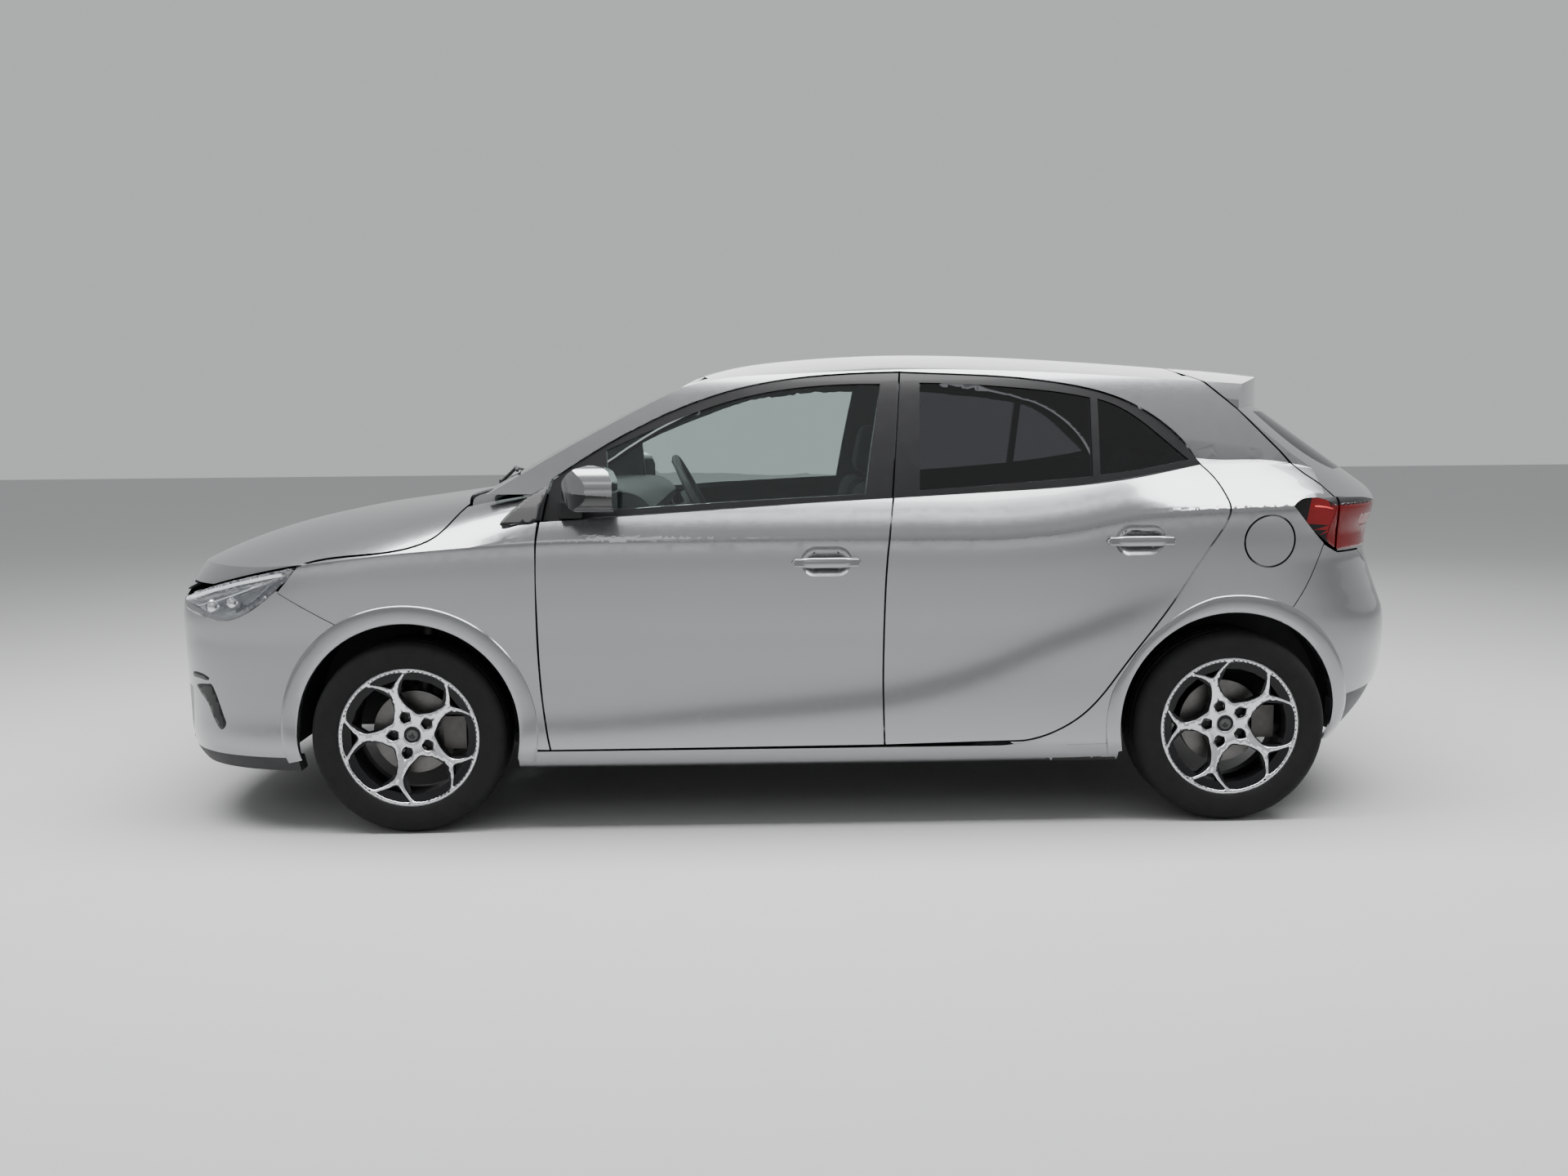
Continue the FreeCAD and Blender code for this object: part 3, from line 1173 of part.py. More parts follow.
console = console.cut(block(fit_x(-130), fit_x(20), -60, 60, 500, 700))
lever = Part.makeCylinder(9, 110, at(-380, 0, 590), Vector(-0.15, 0, 1)).fuse(
    Part.makeSphere(24, at(-395, 0, 705)))
console = console.fuse(lever)

# Door mirrors
MIRROR = [("curve", [(-716, 1084), (-670, 1131), (-593, 1143), (-561, 1128)]),
          ("line", [(-561, 1128), (-548, 1097), (-549, 1006)]),
          ("curve", [(-549, 1006), (-605, 999), (-667, 1012), (-710, 1049)]), ("line", [(-710, 1049), (-716, 1084)])]
MIRROR_FRONT = [("curve", [(-1000, 1070), (-992, 1030), (-950, 1008), (-900, 1002), (-826, 1010)]),
                ("line", [(-826, 1010), (-826, 1120)]),
                ("curve", [(-826, 1120), (-900, 1143), (-970, 1136), (-996, 1105), (-1000, 1070)])]
MIRROR_PLAN = [("curve", [(-730, -800), (-706, -900), (-668, -972), (-620, -1004)]),
               ("line", [(-620, -1004), (-540, -1004), (-540, -800), (-730, -800)])]
housing = inside(side_prism(MIRROR), end_prism(MIRROR_FRONT, -900, -300), plan_prism(MIRROR_PLAN))
foot = side_prism([("line", [(-735, 1032), (-640, 1032), (-655, 985), (-735, 985), (-735, 1032)])], -890, -700)
mirror_left = main_solid(housing.fuse(foot.common(plan_prism([("line", [
    (-735, -700), (-735, -800), (-715, -885), (-640, -885), (-640, -700), (-735, -700)])]))))
keep_off = slab(lower_side(-950, 420, 18).translated(Vector(0, -SEAT, 0)), y=300)
keep_off_top = slab(GREEN.translated(Vector(0, STEP - SEAT, 0)), y=300)
mirror_left = main_solid(mirror_left.cut(keep_off.common(below_belt)).cut(keep_off_top))

# Rear wiper, blank plates
back_wiper_a = at(1925, 0, back_z(1925, 0)) + Vector(10, 0, 14)
back_wiper_b = at(1828, 330, back_z(1828, 330)) + Vector(9, 0, 13)
back_wiper_hub = Part.makeCylinder(14, 26.6, back_wiper_a - Vector(9.65, 0, 13.85), Vector(0.57, 0, 0.82))
rear_wiper = back_wiper_hub.fuse([stick(back_wiper_a, back_wiper_b, 6), Part.makeSphere(7, back_wiper_b)])
PLATE_W = size("plate_width")
PLATE_H = size("plate_height")
plate_front = block(NOSE - 3.5, NOSE + 30, -PLATE_W / 2, PLATE_W / 2, 548, 548 + PLATE_H)
plate_front = main_solid(plate_front.cut(wrap(-650, True, -SEAT)))
GATE_LEAN = 25
plate_rear = Part.makeBox(26, PLATE_W, PLATE_H, Vector(0, -PLATE_W / 2, -PLATE_H / 2))
plate_rear.rotate(Vector(0, 0, 0), Vector(0, 1, 0), -GATE_LEAN)
plate_rear.translate(at(1983, 0, 738))
plate_rear = main_solid(plate_rear.cut(wrap(600, False, -SEAT)))

# Seats
SEAT_Y = 360


def seat(name, x, y, width, back, rests):
    """Seat of a cushion, a leaning back and headrests on a base."""
    base = lay(box(name + "_base", "seat_length - 120", width + " - 120", "seat_base"), x + 40,
               y - number(named(width)) / 2 + 60, FLOOR_TOP + SEAT)
    z = FLOOR_TOP + size("seat_base")
    cushion = rounded(lay(box(name + "_cushion", "seat_length", width, "seat_cushion"), x,
                          y - number(named(width)) / 2, z - 10), 32)
    lean = rounded(lay(box(name + "_back", "seat_back", width + " - 30", back), x + size("seat_length") - 100,
                       y - number(named(width)) / 2 + 15, z + 60, angle=16), 36)
    items = [base, cushion, lean]
    top = number(named(back))
    for k, offset in enumerate(rests):
        tilt = math.radians(16)
        along = top + 26
        hx = x + size("seat_length") - 100 + along * math.sin(tilt)
        hz = z + 60 + along * math.cos(tilt)
        items.append(rounded(lay(box("%s_rest_%d" % (name, k), "seat_back - 34", "headrest_width", "170"),
                                 hx + 18, y + offset - size("headrest_width") / 2, hz, angle=12), 30))
        for side in (-1, 1):
            items.append(lay(rod("%s_pin_%d_%d" % (name, k, side + 1), "6", "110"), hx + 36 - 14,
                             y + offset + side * 60, hz - 60, angle=14))
    return fused(name, items)


node(gathered("seats", [seat("seat_l", fit_x(-330), -SEAT_Y, "seat_width", "seat_rise", [0]),
                        seat("seat_r", fit_x(-330), SEAT_Y, "seat_width", "seat_rise", [0])]), "seats_front")
bench_base = lay(box("bench_base", "seat_length - 80", "bench_width - 100", "50"), fit_x(650),
                 -size("bench_width") / 2 + 50, 382 + SEAT)
bench_cushion = rounded(lay(box("bench_cushion", "seat_length", "bench_width", "seat_cushion"), fit_x(640),
                            -size("bench_width") / 2, 420), 32)
bench_back = rounded(lay(box("bench_back", "seat_back - 10", "bench_width", "seat_rise - 20"), fit_x(1050),
                         -size("bench_width") / 2, 480, angle=22), 36)
bench_items = [bench_base, bench_cushion, bench_back]
for side in (-1, 1):
    bench_items.append(rounded(lay(box("bench_rest_%d" % (side + 1), "80", "headrest_width", "150"), fit_x(1268),
                                   side * 320 - size("headrest_width") / 2, 1004, angle=14), 28))
node(fused("bench", bench_items), "seat_rear")

# Steering wheel on its column
column = FreeCAD.Placement(WHEEL_AT, FreeCAD.Rotation(Vector(0, 0, 1), column_dir))
ring = doc.addObject("Part::Torus", "steering_ring")
bind(ring, Radius1="steering_radius", Radius2="steering_tube")
ring.Placement = column
hub = rod("steering_hub", "58", "46")
hub.Placement = column.multiply(FreeCAD.Placement(Vector(0, 0, -46), FreeCAD.Rotation()))
shaft = rod("steering_shaft", "20", "90 - seat_gap")
shaft.Placement = column.multiply(FreeCAD.Placement(Vector(0, 0, -90 + SEAT), FreeCAD.Rotation()))
arms = []
for k, angle in enumerate((0, 180, 90)):
    arm = box("steering_arm_%d" % k, "steering_radius", "44", "14")
    arm.Placement = column.multiply(FreeCAD.Placement(Vector(0, 0, -20), FreeCAD.Rotation(Vector(0, 0, 1), angle + 90)))
    arm.Placement = arm.Placement.multiply(FreeCAD.Placement(Vector(0, -22, 0), FreeCAD.Rotation()))
    arms.append(arm)
node(fused("steering", [ring, hub, shaft] + arms), "steering_wheel")

# Engine and gearbox block, tank, exhaust
node(lay(box("engine", "engine_length", "engine_width", "engine_height"), ENGINE_X, -size("engine_width") / 2,
         250 + SEAT), "engine_block")
tank = rounded(lay(box("tank", "tank_length", "tank_width", "tank_height"), fit_x(655), 105,
                   352 - SEAT - size("tank_height")), 20)
node(tank, "fuel_tank")
PIPE_Z = 232
pipe = lay(rod("pipe", "pipe_radius", "wheelbase + 110"), fit_x(-990), 0, PIPE_Z, angle=90)
riser = lay(rod("riser", "pipe_radius", "96"), fit_x(-990), 0, PIPE_Z - 20)
down = lay(rod("down", "pipe_radius", "70"), ENGINE_X + size("engine_length") + SEAT, 0, 305, angle=90)
mid_muffler = lay(rod("mid_muffler", "muffler_radius", "380"), fit_x(60), 0, PIPE_Z + 12, angle=90)
rear_muffler = lay(rod("rear_muffler", "rear_muffler_radius", "560"), fit_x(1690), -280, 320,
                   axis=Vector(1, 0, 0), angle=-90)
node(fused("exhaust_line", [pipe, riser, down, mid_muffler, rear_muffler]), "exhaust")


def beam(a, b, radius):
    return Part.makeCylinder(radius, (b - a).Length, a, b - a)


# Hub carriers that steer, with caliper and strut
HUB_BACK = FRONT_Y - 20
TURN = size("turn_gap")
STRUT_LOW = Vector(AXLE_F + 8, -652, 400)
STRUT_TOP = Vector(AXLE_F + 30, -577, 800)
DISC_R = size("disc_radius")


def carrier(x, hub_back, caliper_y):
    """Bearing carrier, bracket and caliper round the disc of a left wheel."""
    stub = Part.makeCylinder(size("stub_radius"), 74, Vector(x, -hub_back + TURN, HUB_Z), Vector(0, 1, 0))
    bracket = block(x - 20, x + DISC_R + 28, caliper_y + 32, caliper_y + 52, HUB_Z - 46, HUB_Z + 46)
    caliper = block(x + 94, x + DISC_R + 32, caliper_y - 16, caliper_y + 52, HUB_Z - 52, HUB_Z + 52)
    slot = Part.makeCylinder(DISC_R + TURN, 22 + 2 * TURN, Vector(x, caliper_y + 4 - TURN, HUB_Z), Vector(0, 1, 0))
    limit = Part.makeCylinder(size("rim_radius") - 24, 300, Vector(x, caliper_y - 100, HUB_Z), Vector(0, 1, 0))
    spindle = Part.makeCylinder(20, TURN, Vector(x, -hub_back + SEAT, HUB_Z), Vector(0, 1, 0))
    return stub.fuse([spindle, bracket, caliper.cut(slot).common(limit)])


upright = carrier(AXLE_F, HUB_BACK, -FRONT_Y)
ball = Part.makeCylinder(18, 100, Vector(AXLE_F, -682, 206), Vector(0, 0, 1))
link = block(AXLE_F - 24, AXLE_F + 34, -704, -640, HUB_Z - 30, 410)
strut = beam(STRUT_LOW, STRUT_TOP, 24)
boot = beam(STRUT_LOW + (STRUT_TOP - STRUT_LOW) * 0.62, STRUT_LOW + (STRUT_TOP - STRUT_LOW) * 0.97, 50)
coils = []
for k in range(6):
    centre = STRUT_LOW + (STRUT_TOP - STRUT_LOW) * (0.66 + 0.055 * k)
    coils.append(Part.makeTorus(52, 7, centre, STRUT_TOP - STRUT_LOW))
perch = beam(STRUT_LOW + (STRUT_TOP - STRUT_LOW) * 0.60, STRUT_LOW + (STRUT_TOP - STRUT_LOW) * 0.63, 60)
knuckle_left = main_solid(upright.fuse([ball, link, strut, boot, perch] + coils))

# Subframe, lower arms and drive shafts
subframe = block(AXLE_F - 60, SUBFRAME_END, -360, 360, 192, 250)
arm_plan = [("line", [(-1236, -706), (-1188, -706), (-1040, -350), (-1250, -350), (-1236, -706)])]
lower_arm = plan_prism(arm_plan, 176, 199)
arm_bush = block(AXLE_F - 40, AXLE_F + 180, -362, -340, 176, 210)
frame_front = subframe.fuse([lower_arm, mirrored(lower_arm), arm_bush, mirrored(arm_bush)])
shaft_y = size("engine_width") / 2 + SEAT
drive = Part.makeCylinder(14, 240, Vector(AXLE_F, -shaft_y - 240, HUB_Z), Vector(0, 1, 0)).fuse([
    Part.makeCylinder(38, 66, Vector(AXLE_F, -shaft_y - 66, HUB_Z), Vector(0, 1, 0)),
    Part.makeCylinder(38, 60, Vector(AXLE_F, -shaft_y - 262, HUB_Z), Vector(0, 1, 0))])
front_suspension = Part.makeCompound([main_solid(frame_front), drive, mirrored(drive)])

# Rear beam with trailing arms, springs and dampers
cross = block(fit_x(1172), fit_x(1248), -560, 560, 278, 334)
rear_parts = [cross]
for side in (-1, 1):
    carried = carrier(AXLE_R, REAR_Y - 20, -REAR_Y)
    arm = block(fit_x(945), AXLE_R + 60, -596, -536, 284, 338)
    spring = Part.makeCylinder(46, 100, Vector(fit_x(1300), -470, 420 - SEAT - 100), Vector(0, 0, 1))
    plate = block(fit_x(1236), fit_x(1365), -560, -415, 300, 322)
    damper = beam(Vector(AXLE_R + 45, -560, 310), Vector(fit_x(1480), -540, 425), 22)
    stub_in = Part.makeCylinder(size("stub_radius"), 140, Vector(AXLE_R, -680, HUB_Z), Vector(0, 1, 0))
    pieces = [carried, arm, spring, plate, damper.cut(block(0, 2200, -900, 0, 420 - SEAT, 700)), stub_in]
    rear_parts += pieces if side < 0 else [mirrored(piece) for piece in pieces]
rear_axle = main_solid(rear_parts[0].fuse(rear_parts[1:]))


publish("body_sides", Part.makeCompound([main_solid(body_left), main_solid(body_right)]))
publish("underbody", underbody)
publish("fuel_flap", fuel_flap)
publish("roof_panel", roof_panel)
publish("windscreen", windscreen)
publish("cowl_and_wipers", Part.makeCompound([cowl] + wipers))
publish("hood", hood)
publish("front_fenders", Part.makeCompound([main_solid(fender), mirrored(main_solid(fender))]))
publish("bumper_front", bumper_front)
publish("grille_front", grille_front)
publish("headlamps", Part.makeCompound([headlamp, mirrored(headlamp)]))
publish("tail_lamps", Part.makeCompound([lamp_outer, mirrored(lamp_outer)]))
publish("gate_lamps", Part.makeCompound([lamp_inner, mirrored(lamp_inner)]))
publish("tailgate", tailgate)
publish("tailgate_glass", gate_glass)
publish("spoiler", spoiler)
publish("rear_wiper", rear_wiper)
publish("bumper_rear", bumper_rear)
publish("bumper_rear_lower", bumper_rear_lower)
publish("plate_front", plate_front)
publish("plate_rear", plate_rear)
publish("dashboard", dash)
publish("centre_console", console)
publish("interior_mirror", interior_mirror)
publish("front_suspension", front_suspension)
publish("rear_axle", rear_axle)
for side in ("left", "right"):
    pairs = [("door_front_", door_fl), ("door_rear_", door_rl), ("glass_front_", glass_fl),
             ("glass_rear_", glass_rl), ("mirror_", mirror_left), ("knuckle_", knuckle_left)]
    for stem_name, shape in pairs:
        publish(stem_name + side, shape if side == "left" else mirrored(shape))

doc.recompute()
for item in doc.Objects:
    if "Invalid" in item.State or "Error" in item.State:
        raise RuntimeError("%s did not build: %s" % (item.Label, item.State))
for item in NODES:
    if item.Shape.isNull() or not item.Shape.isValid() or not item.Shape.Solids:
        raise RuntimeError("%s has no valid solid" % item.Label)
os.makedirs("parts", exist_ok=True)
for item in NODES:
    item.Shape.exportStep("parts/%s.step" % item.Label)
    print(item.Label, len(item.Shape.Solids), round(item.Shape.Volume / 1e6, 2))
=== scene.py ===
"""Looks of a parked five-door hatchback car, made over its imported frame."""
import json
import logging
import math
from dataclasses import dataclass, field
from enum import Enum
from itertools import product
from typing import Callable, Sequence

import bmesh
import bpy
import numpy as np
from mathutils import Matrix, Vector, geometry


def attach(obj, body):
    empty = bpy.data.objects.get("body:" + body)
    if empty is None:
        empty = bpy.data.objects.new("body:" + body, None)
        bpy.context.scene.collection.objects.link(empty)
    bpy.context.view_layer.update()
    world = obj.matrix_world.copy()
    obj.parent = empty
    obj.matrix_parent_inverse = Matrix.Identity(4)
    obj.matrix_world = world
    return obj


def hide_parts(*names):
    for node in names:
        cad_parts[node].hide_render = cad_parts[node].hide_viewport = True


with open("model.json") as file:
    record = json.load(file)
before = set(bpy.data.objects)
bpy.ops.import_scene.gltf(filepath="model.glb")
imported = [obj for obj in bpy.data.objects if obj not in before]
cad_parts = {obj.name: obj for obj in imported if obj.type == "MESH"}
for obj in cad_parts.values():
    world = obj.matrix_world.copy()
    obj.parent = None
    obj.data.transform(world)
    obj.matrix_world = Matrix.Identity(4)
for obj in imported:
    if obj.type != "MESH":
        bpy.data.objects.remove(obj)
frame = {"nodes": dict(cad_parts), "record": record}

logging.basicConfig(level=logging.INFO, format="%(message)s")
LOG = logging.getLogger("car")
MM = 0.001
AXLE_F, AXLE_R = -1211.5, 1358.5
HUB_Z = 305.0
ARCH_RISE = 15.0
ARCH_RADIUS = {"front": 346.0, "rear": 350.0}
PANEL_EDGE, LENS_EDGE = 34.0, 12.0
ON_SURFACE = 0.9
AGREE = 0.90
WAIST_Z = 1000.0
Rows = Sequence[tuple[float, float]]
Faces = list[tuple[int, ...]]
Form = tuple[np.ndarray, Faces]
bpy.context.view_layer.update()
BODY_OF = {node: body for body, nodes in frame["record"]["behaviour"]["bodies"].items() for node in nodes}


class Curve:
    """Monotone cubic through points, straight beyond its ends."""

    def __init__(self, points: Rows) -> None:
        self.x, self.y = np.array(points, float).T
        rise = np.diff(self.y) / np.diff(self.x)
        slope = np.zeros(len(points))
        slope[0], slope[-1] = rise[0], rise[-1]
        for i in range(1, len(points) - 1):
            if rise[i - 1] * rise[i] > 0:
                near, far = self.x[i] - self.x[i - 1], self.x[i + 1] - self.x[i]
                a, b = 2 * far + near, far + 2 * near
                slope[i] = (a + b) / (a / rise[i - 1] + b / rise[i])
        self.slope = slope

    def __call__(self, at: np.ndarray) -> np.ndarray:
        at = np.asarray(at, float)
        i = np.clip(np.searchsorted(self.x, at, side="right") - 1, 0, len(self.x) - 2)
        h = self.x[i + 1] - self.x[i]
        t = (at - self.x[i]) / h
        value = ((1 + 2 * t) * (1 - t) ** 2 * self.y[i] + t * (1 - t) ** 2 * h * self.slope[i]
                 + t * t * (3 - 2 * t) * self.y[i + 1] + t * t * (t - 1) * h * self.slope[i + 1])
        value = np.where(at <= self.x[0], self.y[0] + self.slope[0] * (at - self.x[0]), value)
        return np.where(at >= self.x[-1], self.y[-1] + self.slope[-1] * (at - self.x[-1]), value)


def ease(t: np.ndarray) -> np.ndarray:
    """Smooth step from 0 to 1."""
    t = np.clip(t, 0.0, 1.0)
    return t * t * (3 - 2 * t)


class BodyForm:
    """The car's outer surfaces as formulas, in millimetres, for smooth normals and for seating details.

    The functions side, cabin, hood, screen, roof and back are zero on their surface and grow outward.
    """

    crease = Curve([
        (-2056, 705), (-1950, 752), (-1781, 796), (-1610, 832), (-1520, 846), (-1179, 886), (-563, 914),
        (0, 914), (559, 911), (788, 925), (1077, 972), (1309, 984), (1600, 990), (2056, 985)])
    ridge = Curve([
        (-2056, 322), (-800, 334), (-197, 372), (271, 416), (435, 452), (561, 492), (813, 591), (1014, 665),
        (1271, 742), (2056, 800)])
    belt = Curve([
        (-904, 966), (-442, 992), (73, 1022), (481, 1041), (841, 1061), (987, 1077), (1133, 1099),
        (1280, 1123)])
    section = Curve([
        (150, 800), (200, 826), (240, 848), (275, 858), (340, 861), (480, 864), (600, 870), (720, 880),
        (820, 889), (880, 894), (915, 898.5), (940, 889), (1000, 850), (1060, 805), (1130, 745), (1200, 680)])
    nose = Curve([
        (150, -1985), (240, -2040), (300, -2050), (420, -2052), (560, -2056.5), (650, -2054), (705, -2046),
        (760, -2022), (850, -1960), (1000, -1830), (1200, -1600)])
    tail = Curve([
        (150, 1810), (240, 1895), (300, 1962), (380, 2022), (450, 2046), (560, 2056.5), (620, 2051),
        (700, 2018), (780, 1982), (840, 1962), (900, 1962), (960, 1984), (1010, 1990), (1080, 1962),
        (1200, 1860)])
    hood_line = Curve([
        (-2056, 735), (-2030, 785), (-1950, 848), (-1837, 900), (-1725, 937), (-1598, 968), (-1474, 990),
        (-1282, 1014), (-1100, 1036), (-1000, 1046), (-700, 1060)])
    hood_power = Curve([(-2056, 3), (-1500, 3.3), (-1200, 5), (-1000, 8), (-800, 14), (-600, 20)])
    roof_line = Curve([
        (-420, 1390), (-330, 1425), (-225, 1456), (-91, 1477), (42, 1489), (200, 1498), (377, 1502),
        (577, 1498), (823, 1486), (1071, 1469), (1236, 1456), (1426, 1441), (1660, 1415)])
    roof_crown = Curve([(-420, 20), (-250, 34), (0, 50), (300, 56), (1250, 50)])
    shoulder, front_power, rear_power = 915, 3.6, 2.7
    outermost = 6

    @classmethod
    def straight(cls, x: np.ndarray, z: np.ndarray) -> np.ndarray:
        """Half width of the lower body before its ends are rounded."""
        top = cls.crease(x)
        share = np.clip((z - 600) / (top - 600), 0, 1)
        width = cls.section(z - (top - cls.shoulder) * share)
        width = width - 0.65 * ease((x - 1000) / 350) * np.maximum(0, z - top - 10)
        below = 1 / (1 + np.exp(np.clip((z - cls.ridge(x)) / 20, -40, 40)))
        width = width + 9 * (1 - ease((x - 950) / 350)) * below
        return width * (1 - 0.012 * ((x - 100) / 1300) ** 2)

    @classmethod
    def shares(cls, x: np.ndarray, z: np.ndarray) -> tuple[np.ndarray, np.ndarray]:
        """How far a place lies along the front and the rear overhang, from 0 to 1."""
        front = np.maximum(0, (AXLE_F - x) / (AXLE_F - cls.nose(z)))
        rear = np.maximum(0, (x - AXLE_R) / (cls.tail(z) - AXLE_R))
        return front, rear

    @classmethod
    def half(cls, x: np.ndarray, z: np.ndarray) -> np.ndarray:
        """Half width of the lower body."""
        front, rear = cls.shares(x, z)
        plan = 1.0
        for share, power in ((front, cls.front_power), (rear, cls.rear_power)):
            plan = plan * np.maximum(0, 1 - np.minimum(1, share) ** power) ** (1 / power)
        return cls.straight(x, z) * plan

    @classmethod
    def over(cls, x: float, z: float, rise: float) -> tuple[float, float, float]:
        """A point that stands out from the left side's surface by a rise."""
        return x, -(float(cls.half(np.array(x), np.array(z))) + rise), z

    @classmethod
    def side(cls, x, y, z):
        front, rear = cls.shares(x, z)
        power = np.where(x < 0, cls.front_power, cls.rear_power)
        return (np.abs(y) / cls.straight(x, z)) ** power + np.maximum(front, rear) ** power - 1

    @classmethod
    def cabin(cls, x, y, z):
        rise = z - 980
        width = 812 - 0.36 * rise - 0.00013 * rise * rise - 1e-5 * np.maximum(0, z - 1330) ** 3
        taper = np.where(x < 250, 0.02, 0.045)
        return np.abs(y) - width * (1 - taper * ((x - 250) / 1150) ** 2)

    @classmethod
    def hood(cls, x, y, z):
        side = cls.straight(x, cls.crease(x))
        drop = (cls.hood_line(x) - cls.crease(x)) * (np.abs(y) / side) ** cls.hood_power(x)
        return z - cls.hood_line(x) + drop

    @classmethod
    def screen(cls, x, y, z):
        along = x - 60 * (y / 650.0) ** 2 + 1040
        t = np.clip(along / 740.0, 0, 1)
        return z - (1054 + 0.512 * along + 52 * t * (1 - t))

    @classmethod
    def roof(cls, x, y, z):
        return z - cls.roof_line(x) + cls.roof_crown(x) * (np.abs(y) / 560.0) ** 2.4

    @classmethod
    def back(cls, x, y, z):
        return z - 1320 + 0.70 * (x + 155 * (np.abs(y) / 550.0) ** 2.4 - 1620)

    @classmethod
    def surfaces(cls) -> list[Callable]:
        """The outermost surfaces first, then those at the inward offsets of frames and glass."""
        def moved_y(fn: Callable, d: float) -> Callable:
            return lambda x, y, z: fn(x, np.sign(y) * (np.abs(y) + d), z)

        def moved_z(fn: Callable, d: float) -> Callable:
            return lambda x, y, z: fn(x, y, z + d)
        found = [cls.side, cls.hood, cls.screen, cls.roof, cls.back]
        found += [moved_y(cls.cabin, d) for d in (0, 5, 9, 13, 39)]
        found += [moved_z(cls.screen, 6), moved_z(cls.back, 6), moved_y(cls.side, 14)]
        return found


def graded(fn: Callable, p: np.ndarray) -> tuple[np.ndarray, np.ndarray]:
    """Distance to a surface and its unit normal at points.

    Args:
        fn: implicit function of x, y, z arrays in millimetres, growing outward.
        p: points, one per row.
    Returns:
        The signed distances and the normals.
    """
    h = 0.5
    value = fn(p[:, 0], p[:, 1], p[:, 2])
    grad = np.empty_like(p)
    for k in range(3):
        step = np.zeros(3)
        step[k] = h
        a, b = p + step, p - step
        grad[:, k] = (fn(a[:, 0], a[:, 1], a[:, 2]) - fn(b[:, 0], b[:, 1], b[:, 2])) / (2 * h)
    size = np.linalg.norm(grad, axis=1) + 1e-12
    return value / size, grad / size[:, None]


class Sock:
    """A shader value with operators, so that formulas read as maths."""

    def __init__(self, tree: bpy.types.NodeTree, socket: "bpy.types.NodeSocket | float") -> None:
        self.tree = tree
        self.socket = socket

    def _math(self, operation: str, *others: "Sock | float", clamp: bool = False) -> "Sock":
        """A maths node on this value and others."""
        node = self.tree.nodes.new("ShaderNodeMath")
        node.operation = operation
        node.use_clamp = clamp
        for k, value in enumerate((self,) + others):
            raw = value.socket if isinstance(value, Sock) else value
            if isinstance(raw, (int, float)):
                node.inputs[k].default_value = raw
            else:
                self.tree.links.new(raw, node.inputs[k])
        return Sock(self.tree, node.outputs[0])

    def __add__(self, other): return self._math("ADD", other)
    def __sub__(self, other): return self._math("SUBTRACT", other)
    def __mul__(self, other): return self._math("MULTIPLY", other)
    def sine(self) -> "Sock": return self._math("SINE")
    def clamp(self) -> "Sock": return self._math("ADD", 0.0, clamp=True)


@dataclass(frozen=True)
class Finish:
    """One procedural finish.

    Args:
        color: base colour, linear.
        vary: share by which noise darkens or lightens the colour.
        rough_vary: how far noise moves the roughness.
        grain: noise scale for the colour and roughness.
        bump: height of the fine surface bump, in metres.
        weave: whether the bump is a woven cloth's.
        flakes: whether small cells join the colour's noise.
    """

    name: str
    color: tuple[float, float, float]
    metallic: float = 0.0
    rough: float = 0.5
    coat: float = 0.0
    vary: float = 0.06
    rough_vary: float = 0.08
    grain: float = 40.0
    bump: float = 0.0
    bump_scale: float = 400.0
    transmission: float = 0.0
    ior: float = 1.45
    emission: float = 0.0
    weave: bool = False
    flakes: bool = False


